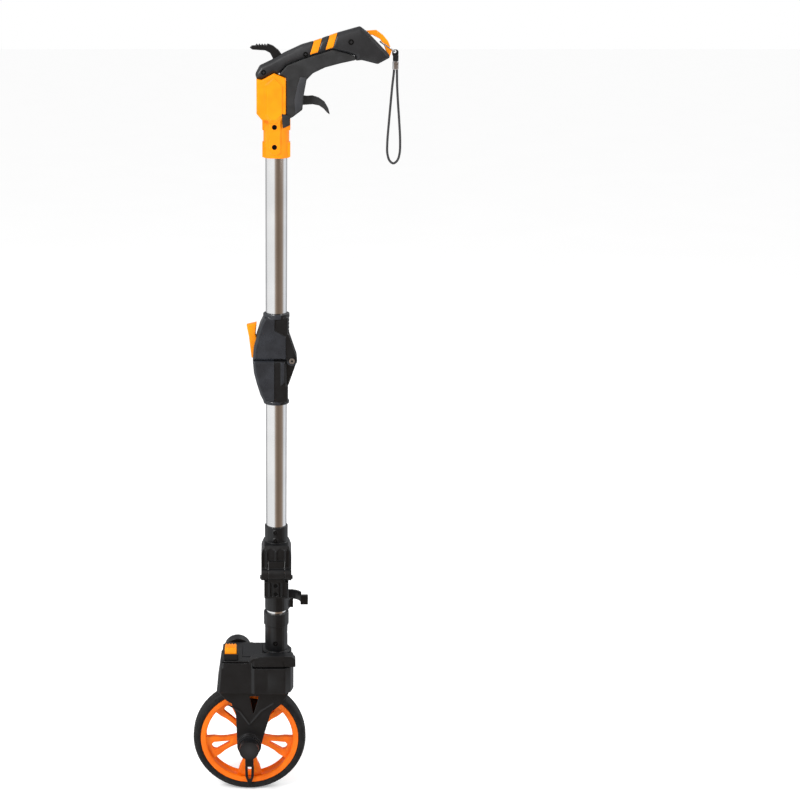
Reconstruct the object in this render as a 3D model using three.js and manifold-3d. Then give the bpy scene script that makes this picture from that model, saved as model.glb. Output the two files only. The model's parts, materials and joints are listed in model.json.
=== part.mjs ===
// A folding measuring wheel: pistol grip, a pole that folds at two hinges, and a counter head that is
// driven by the wheel. Millimetres, +Z up, grip towards +X. The origin is the middle of the hand grip.
import * as THREE from "three";
import { mergeVertices } from "three/addons/utils/BufferGeometryUtils.js";
import Module from "manifold-3d";

const wasm = await Module();
wasm.setup();

// Driving dimensions
const wheelCircumference = 500;
const tyreWidth = 24;
const tyreDepth = 10.3;
const tubeRadius = 14;
const tubeWall = 1.2;
const middleLength = 295.7; // from the stem hinge's pin to the pole hinge's pin
const stemRise = 173.5; // from the head's underside to the stem hinge's pin
const axleTrail = 38; // the wheel's axle lies this far in front of the pole
const tyreGap = 2.8; // from the tyre to the head's underside
const legGap = 4; // from the tyre's side to each fork leg
const legDepth = 14;
const headWidth = 68;
const lidHeight = 48;
const poleHingeOffset = 20.5; // from the tube's axis to the pole hinge's pin
const stemHingeOffset = 28;
const hingeWidth = 34;
const gripWidth = 32;
const drumRadius = 14.6;
const drumWidth = 6.6;
const clipHeight = 18.7;
const cordRadius = 1.5;

// Clearances
const gap = 0.3;
const fit = 0.2;
const foldGap = 8.6;

// Worked out from those
const tyreRadius = wheelCircumference / (2 * Math.PI);
const rimRadius = tyreRadius - tyreDepth;
const boreRadius = tubeRadius + fit;
const sleeveRadius = boreRadius + 2;
const hubDrop = tyreRadius + tyreGap; // from the head's underside down to the axle
const legInner = tyreWidth / 2 + legGap;
const legOuter = legInner + legDepth;
const headFront = legOuter - headWidth;
const headZ = tyreRadius + hubDrop;
const stemPinZ = headZ + stemRise;
const polePinZ = stemPinZ + middleLength;
const hingeReach = 61.5; // from a hinge's pin to the end of its sleeve
const tubeInset = 36.5; // from a hinge's pin to the end of the tube in it
const earDrop = 9.5;
const triggerHousingZ = 50; // the trigger housing's underside above the neck's lower end
const neckZ = polePinZ + middleLength + earDrop + foldGap - triggerHousingZ;
const gripPoint = new THREE.Vector3(78, 0, 136);
const clipReach = Math.hypot(2 * poleHingeOffset, 2 * stemHingeOffset);
const clipRestAngle = 73;

// ---- Materials ----------------------------------------------------------------------------------

const look = (color, roughness, metalness = 0) =>
  new THREE.MeshStandardMaterial({ color, roughness, metalness });
const blackPlastic = look(0x222326, 0.55);
const softGrip = look(0x2b2b2c, 0.8);
const orangePlastic = look(0xff8a10, 0.4);
const rubber = look(0x1b1b1c, 0.85);
const tubeMetal = look(0xc9c9c6, 0.25, 1);
const steel = look(0xb8b8b8, 0.3, 1);
const lens = look(0x2a2c30, 0.1);
const white = look(0xe8e8e4, 0.5);
const cordBraid = look(0x1c1c1d, 0.9);

// ---- Solids -------------------------------------------------------------------------------------

function solid(geometry) {
  const bare = geometry.clone();
  bare.deleteAttribute("normal");
  bare.deleteAttribute("uv");
  const merged = mergeVertices(bare, 1e-4);
  const make = (triVerts) =>
    new wasm.Manifold(
      new wasm.Mesh({
        numProp: 3,
        vertProperties: new Float32Array(merged.attributes.position.array),
        triVerts,
      }),
    );
  const triVerts = new Uint32Array(merged.index.array);
  const made = make(triVerts);
  return made.volume() < 0 ? make(triVerts.reverse()) : made;
}

function geometryOf(shape) {
  const mesh = shape.getMesh();
  const geometry = new THREE.BufferGeometry();
  geometry.setAttribute(
    "position",
    new THREE.BufferAttribute(new Float32Array(mesh.vertProperties), 3),
  );
  geometry.setIndex(
    new THREE.BufferAttribute(new Uint32Array(mesh.triVerts), 1),
  );
  const flat = geometry.toNonIndexed();
  flat.computeVertexNormals();
  return flat;
}

const join = (...shapes) => shapes.reduce((a, b) => a.add(b));
const cut = (shape, ...tools) => tools.reduce((a, b) => a.subtract(b), shape);

function box([x0, x1], [y0, y1], [z0, z1]) {
  const geometry = new THREE.BoxGeometry(x1 - x0, y1 - y0, z1 - z0);
  return solid(
    geometry.translate((x0 + x1) / 2, (y0 + y1) / 2, (z0 + z1) / 2),
  );
}

function extrude(shape, from, to, bevel, basis) {
  const geometry = new THREE.ExtrudeGeometry(shape, {
    depth: to - from - 2 * bevel,
    bevelEnabled: bevel > 0,
    bevelThickness: bevel,
    bevelSize: bevel,
    bevelOffset: -bevel,
    bevelSegments: 1,
    curveSegments: 7,
  });
  geometry.translate(0, 0, from + bevel);
  return solid(geometry.applyMatrix4(basis));
}

const vec = (x, y, z) => new THREE.Vector3(x, y, z);
const alongX = new THREE.Matrix4().makeBasis(
  vec(0, 1, 0),
  vec(0, 0, 1),
  vec(1, 0, 0),
);
const alongY = new THREE.Matrix4().makeBasis(
  vec(1, 0, 0),
  vec(0, 0, 1),
  vec(0, 1, 0),
);
const alongZ = new THREE.Matrix4();

const shapeOf = (outline) =>
  outline instanceof THREE.Shape
    ? outline
    : new THREE.Shape(outline.map(([u, v]) => new THREE.Vector2(u, v)));
const slabX = (yz, x0, x1, bevel = 0) =>
  extrude(shapeOf(yz), x0, x1, bevel, alongX);
const slabY = (xz, y0, y1, bevel = 0) =>
  extrude(shapeOf(xz), y0, y1, bevel, alongY);
const slabZ = (xy, z0, z1, bevel = 0) =>
  extrude(shapeOf(xy), z0, z1, bevel, alongZ);

function rod(axis, radius, from, to, [u, v] = [0, 0], sides = 20) {
  const geometry = new THREE.CylinderGeometry(radius, radius, to - from, sides);
  const middle = (from + to) / 2;
  if (axis === "x")
    return solid(geometry.rotateZ(-Math.PI / 2).translate(middle, u, v));
  if (axis === "y") return solid(geometry.translate(u, middle, v));
  return solid(geometry.rotateX(Math.PI / 2).translate(u, v, middle));
}

// A closed ring of the given profile of [radius, height], about Z or, for wheels, about Y.
function turned(profile, sides = 24, axis = "z") {
  const points = [...profile, profile[0]].map(
    ([r, h]) => new THREE.Vector2(r, h),
  );
  const geometry = new THREE.LatheGeometry(points, sides);
  return solid(axis === "z" ? geometry.rotateX(Math.PI / 2) : geometry);
}

function pipe(outer, inner, z0, z1, sides = 24) {
  const profile = [
    [inner, z0],
    [outer, z0],
    [outer, z1],
    [inner, z1],
  ];
  return turned(profile, sides);
}

function roundedBox(x0, x1, y0, y1, r) {
  const shape = new THREE.Shape();
  shape.moveTo(x0 + r, y0);
  shape.lineTo(x1 - r, y0);
  shape.absarc(x1 - r, y0 + r, r, -Math.PI / 2, 0);
  shape.lineTo(x1, y1 - r);
  shape.absarc(x1 - r, y1 - r, r, 0, Math.PI / 2);
  shape.lineTo(x0 + r, y1);
  shape.absarc(x0 + r, y1 - r, r, Math.PI / 2, Math.PI);
  shape.lineTo(x0, y0 + r);
  shape.absarc(x0 + r, y0 + r, r, Math.PI, 1.5 * Math.PI);
  return shape;
}

// The outline around two circles, as a belt runs.
function loopAround([x1, z1], r1, [x2, z2], r2) {
  const along = Math.atan2(z2 - z1, x2 - x1);
  const lean = Math.acos((r1 - r2) / Math.hypot(x2 - x1, z2 - z1));
  const shape = new THREE.Shape();
  shape.absarc(x1, z1, r1, along + lean, along - lean + 2 * Math.PI);
  shape.absarc(x2, z2, r2, along - lean, along + lean);
  return shape;
}

function place(parent, name, shape, material) {
  const mesh = new THREE.Mesh(geometryOf(shape), material.clone());
  mesh.name = name;
  parent.add(mesh);
}

const far = 400; // longer than any piece
const nearSide = box([-far, far], [-far, -gap / 2], [-far, far]);
const farSide = box([-far, far], [gap / 2, far], [-far, far]);

// ---- Handle: heights above the neck's lower end ---------------------------------------------------

const gripHalf = gripWidth / 2;
const neckHalf = sleeveRadius + 2.3;
const neckHeight = 96;
const triggerPivot = [27, 73];
const thumbPivot = [3, 116];
const stripeGap = gap;
const neckTop = [
  [-25, 99],
  [-18, 98],
  [-3, 106],
  [12, 100],
];
const partingLine = [
  [2, 104.3],
  [13, 116],
  [34, 124],
  [70, 135],
  [90, 130],
  [99.4, 126.8],
  [99.4, 121.2],
  [107, 122],
];

const bandOutline = () => [
  [-25, 99.4],
  [-18, 98.4],
  [-3, 106.4],
  ...partingLine,
  [127, 117],
  [142, 125],
  [141, 129],
  [127, 143],
  [113, 157],
  [105, 163],
  [76, 155],
  [50, 146],
  [32, 141],
  [10, 131],
  [-6, 122],
  [-21, 115],
  [-26.5, 105],
];

const gripOutline = () => [
  [12.3, 54],
  [17, triggerHousingZ],
  [21, 52],
  [33, 61],
  [34, 76],
  [38, 98],
  [46, 106],
  [61, 113],
  [80, 118],
  [99, 122],
  [99, 126.3],
  [90, 129.6],
  [70, 134.6],
  [34, 123.6],
  [13.3, 115.6],
  [3.6, 105],
  [4.4, 104],
  [12.3, 100.6],
];

// A slanted band across the top of the handle, from x0 to x1 at the parting line.
const stripeSlab = (x0, x1, grow) =>
  slabY(
    [
      [x0 - grow - 2, 118],
      [x1 + grow - 2, 118],
      [x1 + grow + 13, 166],
      [x0 - grow + 13, 166],
    ],
    -far / 4,
    far / 4,
  );
const stripes = [
  ["stripe_front", 40.5, 49.5],
  ["stripe_rear", 58, 66.5],
];

function lanyardBow(grow) {
  const outline = [
    [142.5 + grow, 126 - grow],
    [145 + grow, 133],
    [140 + grow, 145 + grow],
    [133, 153 + grow],
    [125, 158.5 + grow],
    [111 - grow, 157.5 + grow],
    [111 - grow, 152 - grow],
    [120, 152.5 - grow],
    [130 - grow, 147.5 - grow],
    [135 - grow, 140],
    [138.5 - grow, 131],
    [136 - grow, 126 - grow],
  ];
  return slabY(outline, -3.5 - grow, 3.5 + grow);
}

function addHandle(group) {
  const band = slabY(bandOutline(), -gripHalf - 1, gripHalf + 1, 3.5);
  const lowered = (drop) => bandOutline().map(([x, z]) => [x, z - drop]);
  const core = slabY(lowered(2), -gripHalf + 1, gripHalf - 1, 3);
  const thumbSlot = box([-9, 11], [-5.4, 5.4], [108, 150]);
  const thumbPin = rod("y", 2 + fit, -9, 9, thumbPivot, 16);
  const bow = lanyardBow(gap);
  const grooves = stripes.map(([, x0, x1]) =>
    stripeSlab(x0, x1, stripeGap).subtract(core),
  );
  const bandShell = cut(band, thumbSlot, thumbPin, bow, ...grooves);
  place(
    group,
    "handle_shell_near",
    bandShell.intersect(nearSide),
    blackPlastic,
  );
  place(group, "handle_shell_far", bandShell.intersect(farSide), blackPlastic);
  for (const [name, x0, x1] of stripes) {
    const strip = stripeSlab(x0, x1, 0).intersect(band);
    const under = slabY(lowered(2 - gap), -gripHalf + 1 - gap, gripHalf - 1 + gap, 3);
    place(group, name, strip.subtract(under), orangePlastic);
  }

  const grip = slabY(gripOutline(), -gripHalf, gripHalf, 0.8);
  const triggerSlot = box([14.8, 40], [-4.4, 4.4], [60, 88]);
  const triggerPin = rod("y", 2 + fit, -9, 9, triggerPivot, 16);
  const tubeWay = join(
    rod("z", sleeveRadius - 1.5, 0, 104, [0, 0], 24),
    rod("z", sleeveRadius + 0.4 + gap, 0, 52 + gap, [0, 0], 24),
  );
  const gripShell = cut(grip, triggerSlot, triggerPin, tubeWay);
  place(group, "grip_near", gripShell.intersect(nearSide), softGrip);
  place(group, "grip_far", gripShell.intersect(farSide), softGrip);

  place(group, "trigger_pin", rod("y", 2, -8.8, 8.8, triggerPivot, 16), steel);
  place(group, "thumb_lever_pin", rod("y", 2, -8.8, 8.8, thumbPivot, 16), steel);
  place(group, "lanyard_bow", lanyardBow(0), orangePlastic);
}

function addTrigger(group) {
  const outline = [
    [21, 70],
    [21, 76],
    [24, 79],
    [31, 79],
    [38, 77.5],
    [46, 78],
    [54, 75.5],
    [61, 70.5],
    [66, 62],
    [68, 54],
    [64.5, 56.5],
    [60, 61.5],
    [54, 65.5],
    [46, 67],
    [38, 66.5],
    [31, 66],
    [24, 67],
  ];
  const hole = rod("y", 2 + fit, -9, 9, triggerPivot, 16);
  place(group, "trigger", slabY(outline, -4, 4, 1.2).subtract(hole), softGrip);
}

function addThumbLever(group) {
  const teeth = [0, 1, 2, 3, 4].flatMap((k) => [
    [-11 - 3.4 * k, 142],
    [-12.7 - 3.4 * k, 139.8],
  ]);
  const outline = [
    [-2, 111.5],
    [8, 111.5],
    [8.5, 120],
    [8, 127],
    [3, 134],
    [-4, 139.5],
    ...teeth,
    [-31, 139.5],
    [-33.5, 137],
    [-30, 134.5],
    [-14, 133.5],
    [-8, 130.5],
    [-4.5, 124],
  ];
  const hole = rod("y", 2 + fit, -9, 9, thumbPivot, 16);
  place(
    group,
    "thumb_lever",
    slabY(outline, -5, 5, 0.8).subtract(hole),
    blackPlastic,
  );
}

function addNeck(group) {
  const cover = [
    [-18, 48],
    [5, 47],
    [12, 56],
    ...[...neckTop].reverse(),
    [-25, 56],
  ];
  const panel = [
    [-9, 45],
    [1, 45],
    [5, 52],
    [5, 92],
    [-4, 99],
    [-13, 92],
    [-13, 52],
  ];
  const body = join(
    rod("z", sleeveRadius + 0.4, 0, 52, [0, 0], 24),
    slabY(cover, -neckHalf, neckHalf, 1.5),
    slabY(panel, -neckHalf - 1.2, neckHalf + 1.2, 0.6),
    slabY(
      [
        [-9, 8],
        [-5, 4.5],
        [1, 4.5],
        [5, 8],
        [5, 50],
        [-9, 50],
      ],
      -sleeveRadius - 1.6,
      sleeveRadius + 1.6,
    ),
  );
  const bore = rod("z", boreRadius, -1, neckHeight + 0.5, [0, 0], 24);
  const screws = [14.5, 39.5].map((z) =>
    rod("y", 2.6, -neckHalf - 2, -neckHalf + 3.5, [-2.4, z], 16),
  );
  const shell = cut(body, bore, ...screws);
  place(group, "neck_shell_near", shell.intersect(nearSide), orangePlastic);
  place(group, "neck_shell_far", shell.intersect(farSide), orangePlastic);
}

function addLanyard(group) {
  const ring = new THREE.TorusGeometry(1, 0.08, 8, 28);
  ring.scale(11, 7.6, 11.25);
  ring.rotateY(THREE.MathUtils.degToRad(33)).translate(139.4, 0, 138.2);
  place(group, "lanyard_ring", solid(ring), steel);
  const eyeX = 150.2;
  const eye = join(
    rod("z", 3.6, 120.3, 127.5, [eyeX, 0], 16),
    slabY(roundedBox(eyeX - 4.6, eyeX + 3.4, 126, 134.6, 3), -1.1, 1.1),
  );
  const hole = rod("y", 1.9, -3, 3, [148.9, 132], 12);
  place(group, "lanyard_swivel", eye.subtract(hole), blackPlastic);
  const crimp = slabZ(roundedBox(eyeX - 3.9, eyeX + 3.9, -2.4, 2.4, 2), 110, 120);
  place(group, "lanyard_crimp", crimp, steel);
  place(group, "wrist_cord", solid(cordGeometry()), cordBraid);
}

// The wrist cord hangs in one loop below its crimp.
function cordGeometry() {
  const route = [
    [148.4, 0, 109.7],
    [148, 0, 104],
    [146.6, 0, 90],
    [144.9, 0, 68],
    [143.2, 0, 44],
    [141.7, 0, 20],
    [142, 0, 5],
    [145, 0, -4],
    [149.8, 0, -7.5],
    [154.8, 0, -4],
    [157.6, 0, 5],
    [158, 0, 20],
    [156.4, 0, 44],
    [154.3, 0, 68],
    [152.7, 0, 90],
    [152.2, 0, 104],
    [152, 0, 109.7],
  ];
  const path = new THREE.CatmullRomCurve3(
    route.map((p) => vec(...p)),
    false,
    "centripetal",
  );
  const section = new THREE.Shape();
  section.absarc(0, 0, cordRadius, 0, 2 * Math.PI);
  return new THREE.ExtrudeGeometry(section, {
    steps: 40,
    curveSegments: 4,
    extrudePath: path,
  });
}

// ---- Pole hinge: heights from its pin -------------------------------------------------------------

const hingeHalf = hingeWidth / 2;
const knuckleHalf = hingeHalf / 2;
const knuckleRadius = 7;
const hingeFace = poleHingeOffset - knuckleRadius - gap; // the bodies stop here beside the knuckles
const leftEdge = -(sleeveRadius + 15);

function poleHingeBody(up) {
  const side = [
    [leftEdge, gap],
    [leftEdge + 1.5, 17],
    [leftEdge + 5.6, 33],
    [leftEdge + 7.8, 40],
    [leftEdge + 9.9, 47],
    [-sleeveRadius - 1.6, 54],
    [-sleeveRadius, hingeReach - 4],
    [sleeveRadius - 1, hingeReach - 4],
    [sleeveRadius - 1, 36.5],
    [hingeFace, 33],
    [hingeFace, gap],
  ];
  const flip = up ? 1 : -1;
  const outline = side.map(([x, z]) => [x, flip * z]);
  const sleeve = rod(
    "z",
    sleeveRadius - 0.4,
    Math.min(flip * 30, flip * hingeReach),
    Math.max(flip * 30, flip * hingeReach),
    [0, 0],
    24,
  );
  const bore = rod(
    "z",
    boreRadius,
    Math.min(flip * (tubeInset - gap), flip * 80),
    Math.max(flip * (tubeInset - gap), flip * 80),
    [0, 0],
    24,
  );
  return join(slabY(outline, -hingeHalf, hingeHalf, 3), sleeve).subtract(bore);
}

function knuckle(up, y0, y1) {
  const flip = up ? 1 : -1;
  const web = [
    [hingeFace - 6, flip * 3],
    [poleHingeOffset, 0],
    [poleHingeOffset + knuckleRadius * 0.95, flip * 3],
    [sleeveRadius, flip * 35],
    [hingeFace - 6, flip * 35],
  ];
  return join(
    slabY(web, y0, y1),
    rod("y", knuckleRadius, y0, y1, [poleHingeOffset, 0]),
  );
}

function addPoleHingeUpper(group) {
  const body = poleHingeBody(true);
  const sweep = rod(
    "y",
    knuckleRadius + gap,
    -knuckleHalf,
    knuckleHalf,
    [poleHingeOffset, 0],
  );
  const pinHole = rod("y", 3, -far, far, [poleHingeOffset, 0], 16);
  const leverSlot = box([leftEdge - 1, -sleeveRadius - 6.5], [-6.4, 6.4], [-1, 50]);
  const leverPin = rod("y", 1.5 + fit, -9.2, 9.2, leverPivot, 12);
  const ears = join(
    knuckle(true, -hingeHalf, -knuckleHalf - gap / 2),
    knuckle(true, knuckleHalf + gap / 2, hingeHalf),
  );
  const upper = cut(join(cut(body, sweep), ears), pinHole, leverSlot, leverPin);
  place(group, "pole_hinge_upper", upper, blackPlastic);
  const pin = join(
    rod("y", 3 - fit, -hingeHalf - 1.5, hingeHalf + 1.5, [poleHingeOffset, 0], 16),
    rod("y", 3.8, -hingeHalf - 2.6, -hingeHalf - gap, [poleHingeOffset, 0], 20),
    rod("y", 3.8, hingeHalf + gap, hingeHalf + 2.6, [poleHingeOffset, 0], 20),
  );
  place(group, "pole_hinge_pin", pin, steel);
  place(group, "hinge_lever_pin", rod("y", 1.5, -9, 9, leverPivot, 12), steel);
}

const leverPivot = [leftEdge + 6.3, 17];

function addHingeLever(group) {
  const [px, pz] = leverPivot;
  const outline = [
    [leftEdge - 1.6, 1.2],
    [leftEdge + 5.5, 1.2],
    [px + 1.9, pz - 3],
    [px + 1.9, pz + 3],
    [leftEdge + 4, 33],
    [leftEdge + 5.4, 48.5],
    [leftEdge - 8, 45.3],
    [leftEdge - 5, 30],
  ];
  const hole = rod("y", 1.5 + fit, -10, 10, leverPivot, 12);
  place(
    group,
    "hinge_lever",
    slabY(outline, -6, 6, 1).subtract(hole),
    orangePlastic,
  );
}

function addPoleHingeLower(group) {
  const tongue = knuckle(false, -knuckleHalf + gap / 2, knuckleHalf - gap / 2);
  const pinHole = rod("y", 3, -far, far, [poleHingeOffset, 0], 16);
  const body = join(poleHingeBody(false), tongue).subtract(pinHole);
  place(group, "pole_hinge_lower", body, blackPlastic);
}

// ---- Stem hinge: heights from its pin, which lies at y = -stemHingeOffset ---------------------------

const stemKnuckle = 8;
const tongueHalf = 11;
const earHalf = 20.5;
const hingeBack = tubeRadius + 2;
const splitY = -stemHingeOffset + gap;
const tongueTop = 17.5;
const pinAt = [-stemHingeOffset, 0];
const latchPivot = [hingeBack + 4.2, 23];
const latchReach = 19;

function addStemHingeUpper(group) {
  const block = [
    [splitY, tongueTop + 0.6],
    [hingeBack, tongueTop + 0.6],
    [hingeBack, 34],
    [hingeBack - 4, 39],
    [splitY + 5, 39],
    [splitY, 32],
  ];
  const ear = [
    [splitY, -earDrop],
    [hingeBack - 2, -earDrop],
    [hingeBack, -earDrop + 2],
    [hingeBack, 34],
    [splitY, 34],
  ];
  const earPair = [-1, 1].map((side) => {
    const inner = side * (tongueHalf + gap);
    const outer = side * earHalf;
    const [x0, x1] = [Math.min(inner, outer), Math.max(inner, outer)];
    return join(
      slabX(ear, x0, x1),
      rod("x", stemKnuckle, x0, x1, pinAt),
    );
  });
  const lugs = [-1, 1].map((side) => {
    const [x0, x1] = side < 0 ? [-10.6, -7.8] : [7.8, 10.6];
    const lug = [
      [hingeBack - 3, tongueTop + 1],
      [hingeBack + 5, tongueTop + 1],
      [hingeBack + 7, 23],
      [hingeBack + 5, 27],
      [hingeBack - 3, 29],
    ];
    return slabX(lug, x0, x1);
  });
  const sleeve = rod("z", sleeveRadius - 0.4, 30, hingeReach, [0, 0], 24);
  const bore = rod("z", boreRadius, 33 - gap, hingeReach + 2, [0, 0], 24);
  const pinHole = rod("x", 2.5, -far, far, pinAt, 16);
  const latchPin = rod("x", 1.2 + fit, -12, 12, latchPivot, 12);
  const body = join(slabX(block, -earHalf, earHalf), ...earPair, ...lugs, sleeve);
  place(
    group,
    "stem_hinge_upper",
    cut(body, bore, pinHole, latchPin),
    blackPlastic,
  );
  const pin = rod("x", 2.5 - fit, -earHalf + 0.5, earHalf - 0.5, pinAt, 16);
  place(group, "stem_hinge_pin", pin, steel);
  place(group, "latch_pin", rod("x", 1.2, -10.4, 10.4, latchPivot, 12), steel);
}

function addLatch(group) {
  const back = hingeBack + 2.7;
  const outline = [
    [back, -latchReach],
    [back + 4.5, -latchReach],
    [back + 4.5, -latchReach + 5],
    [back + 2.8, 0],
    [back + 2.8, 30],
    [back + 6, 44],
    [back + 3.6, 44.5],
    [back + 0.4, 31],
    [back, 20],
  ];
  const hole = rod("x", 1.2 + fit, -12, 12, latchPivot, 12);
  place(
    group,
    "stem_hinge_latch",
    join(slabX(outline, -7.4, 7.4), rod("x", 2.6, -7.4, 7.4, latchPivot, 16)).subtract(hole),
    blackPlastic,
  );
}

function addStemHingeLower(group) {
  const bodyTop = -stemKnuckle - 3.5;
  const body = slabZ(
    roundedBox(-sleeveRadius - 0.4, sleeveRadius + 0.4, splitY, hingeBack, 3),
    -36,
    bodyTop,
  );
  const tongue = [
    [splitY, bodyTop - 2],
    [hingeBack - 2, bodyTop - 2],
    [hingeBack - 2, tongueTop - 4],
    [hingeBack - 5, tongueTop],
    [splitY, tongueTop],
  ];
  const stiffeners = [-10, 0, 10].map((x) =>
    box([x - 1.2, x + 1.2], [splitY - 1.6, splitY + 1], [-33, bodyTop]),
  );
  const sleeve = rod("z", sleeveRadius - 0.4, -hingeReach, -34, [0, 0], 24);
  const bore = rod("z", boreRadius, -hingeReach - 2, -33 + gap, [0, 0], 24);
  const pinHole = rod("x", 2.5, -far, far, pinAt, 16);
  const keeper = box([-7, 7], [hingeBack - 2, hingeBack + 2.2], [-latchReach - 6, -latchReach + 5]);
  const whole = join(
    body,
    keeper,
    slabX(tongue, -tongueHalf, tongueHalf),
    rod("x", stemKnuckle, -tongueHalf, tongueHalf, pinAt),
    ...stiffeners.map((rib) => rib.intersect(box([-far, far], [splitY, far], [-far, far]))),
    sleeve,
  );
  place(group, "stem_hinge_lower", cut(whole, bore, pinHole), blackPlastic);
}

// ---- Tubes ----------------------------------------------------------------------------------------

function addTube(group, name, z0, z1) {
  const tube = pipe(tubeRadius, tubeRadius - tubeWall, z0, z1);
  place(group, name, tube, tubeMetal);
}

// ---- Head: heights from its underside, x from the stem's axis ---------------------------------------

const wall = 2.6;
const headTop = 45;
const shoulderTop = 38;
const hub = [-axleTrail, -hubDrop];
const postRadius = boreRadius + 1.8;
const counterX = -(postRadius + 2 * gap + drumRadius);
const counterZ = 27;
const inputX = counterX - 24;
const inputAt = [inputX, counterZ];
const beltY = [legOuter + 6, legOuter + 12];
const coverDepth = 18;

function headOutline(inset, top) {
  const lean = 6 * (top / headTop);
  const front = headFront + inset;
  const back = legOuter - inset;
  return [
    [-83 + lean + inset, front + 5],
    [-79 + lean + inset, front + 1.5],
    [-34, front + 1],
    [-31, front - 1.5],
    [12 - inset, front - 1.5],
    [20 - inset, front + 5],
    [24 - inset, front + 18],
    [24 - inset, back - 16],
    [16 - inset, back],
    [-76 + lean + inset, back],
    [-83 + lean + inset, back - 7],
  ];
}

function legOutline() {
  const [hx, hz] = hub;
  const r = 17;
  const shape = new THREE.Shape();
  shape.moveTo(-79, 1);
  shape.lineTo(-79, -4);
  shape.lineTo(hx - 31, -15);
  shape.lineTo(hx - 24.5, -19);
  shape.lineTo(hx - 18.5, -35);
  shape.lineTo(hx - r, hz);
  shape.absarc(hx, hz, r, Math.PI, 1.5 * Math.PI - 0.35);
  shape.lineTo(hx - 5.8, hz - r - 18);
  shape.lineTo(hx + 5.8, hz - r - 18);
  shape.absarc(hx, hz, r, 1.5 * Math.PI + 0.35, 2 * Math.PI);
  shape.lineTo(hx + 24, -56);
  shape.lineTo(hx + 31, -32);
  shape.lineTo(hx + 44, -21);
  shape.lineTo(17, -4);
  shape.lineTo(17, 1);
  return shape;
}

function farLegOutline() {
  const [hx, hz] = hub;
  const shape = new THREE.Shape();
  shape.moveTo(-79, 1);
  shape.lineTo(-79, -4);
  shape.lineTo(hx - 31, -15);
  shape.lineTo(hx - 18.5, -35);
  shape.lineTo(hx - 15, hz);
  shape.absarc(hx, hz, 15, Math.PI, 2 * Math.PI);
  shape.lineTo(hx + 24, -56);
  shape.lineTo(hx + 44, -21);
  shape.lineTo(17, -4);
  shape.lineTo(17, 1);
  return shape;
}

const windowOutline = [
  [-37, -8],
  [-24, -8],
  [-32, -36],
];

function addHousing(group) {
  const lower = slabZ(headOutline(0, 0), 0, shoulderTop);
  const left = slabZ(headOutline(0, headTop), shoulderTop - 1, headTop).intersect(
    box([-far, -33], [-far, far], [0, far]),
  );
  const hollow = slabZ(headOutline(wall, headTop), wall, far / 4);
  const stemWay = rod("z", boreRadius + 0.2, wall + 2, far / 4, [0, 0], 24);
  const shell = cut(join(lower, left), hollow);
  const stemPost = rod("z", postRadius, wall - 1, shoulderTop, [0, 0], 24);
  const casing = cut(join(shell, stemPost), stemWay);

  const axleHole = (y0, y1) => rod("y", 5 + fit, y0, y1, hub);
  const nearLeg = cut(
    slabY(legOutline(), -legOuter, -legInner),
    slabY(
      [
        [hub[0] - 14, hub[1] + 22],
        [hub[0] + 14, hub[1] + 22],
        [hub[0] + 20, -50],
        [hub[0] + 26, -26],
        [hub[0] + 34, -4],
        [hub[0] - 28, -4],
        [hub[0] - 15, -36],
      ],
      -legOuter + 3,
      -legInner + 1,
    ),
    slabY(windowOutline, -legOuter - 1, -legInner + 1),
    axleHole(-legOuter - 1, -legInner + 1),
  );
  const nearBoss = rod("y", 17, -legOuter - 4, -legOuter + 1, hub, 24);
  const near = join(
    casing.intersect(nearSide),
    nearLeg,
    cut(nearBoss, axleHole(-legOuter - 5, -legOuter + 2)),
  );
  place(group, "head_shell_near", near, blackPlastic);

  const farLeg = cut(
    slabY(farLegOutline(), legInner, legOuter),
    slabY(
      [
        [hub[0] - 12, hub[1] + 22],
        [hub[0] + 14, hub[1] + 22],
        [hub[0] + 20, -50],
        [hub[0] + 34, -4],
        [hub[0] - 28, -4],
        [hub[0] - 15, -36],
      ],
      legInner - 1,
      legOuter - 3,
    ),
    axleHole(legInner - 1, legOuter + 1),
  );
  const shaftHole = rod("y", 3 + fit, legOuter - 6, legOuter + 1, inputAt, 16);
  place(
    group,
    "head_shell_far",
    cut(join(casing.intersect(farSide), farLeg), shaftHole),
    blackPlastic,
  );
}

const lensX = [-47, -(sleeveRadius + 3.5)];
const lensY = [-21, 20];
const buttonX = [-71, -55];
const buttonY = [headFront + 7, headFront + 20];

function addLid(group) {
  const right = slabZ(headOutline(2.6, headTop), shoulderTop + gap, lidHeight, 1).intersect(
    box([-34, far], [-far, far], [0, far]),
  );
  const left = slabZ(headOutline(1.4, headTop), headTop + gap, lidHeight, 0.8).intersect(
    box([-far, -33.4], [-far, far], [0, far]),
  );
  const bridge = box([-36, -32], [headFront + 6, legOuter - 6], [headTop + gap, lidHeight - 1]);
  const below = slabZ(headOutline(wall + 2.2, headTop), 0, lidHeight - 2.6).intersect(
    box([-36, far], [-far, far], [0, far]),
  );
  const stem = rod("z", boreRadius, 0, far / 4, [0, 0], 24);
  const window = box(
    [lensX[0] + 2, lensX[1] - 2],
    [lensY[0] + 2, lensY[1] - 2],
    [0, far / 4],
  );
  const seat = box(
    [lensX[0] - gap, lensX[1] + gap],
    [lensY[0] - gap, lensY[1] + gap],
    [lidHeight - 1.4, far / 4],
  );
  const button = box(
    [buttonX[0] - gap, buttonX[1] + gap],
    [buttonY[0] - gap, buttonY[1] + gap],
    [0, far / 4],
  );
  place(
    group,
    "counter_lid",
    cut(join(right, left, bridge), below, stem, window, seat, button),
    blackPlastic,
  );
  place(
    group,
    "display_lens",
    box(lensX, lensY, [lidHeight - 1.1, lidHeight + 0.4]),
    lens,
  );
}

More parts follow.
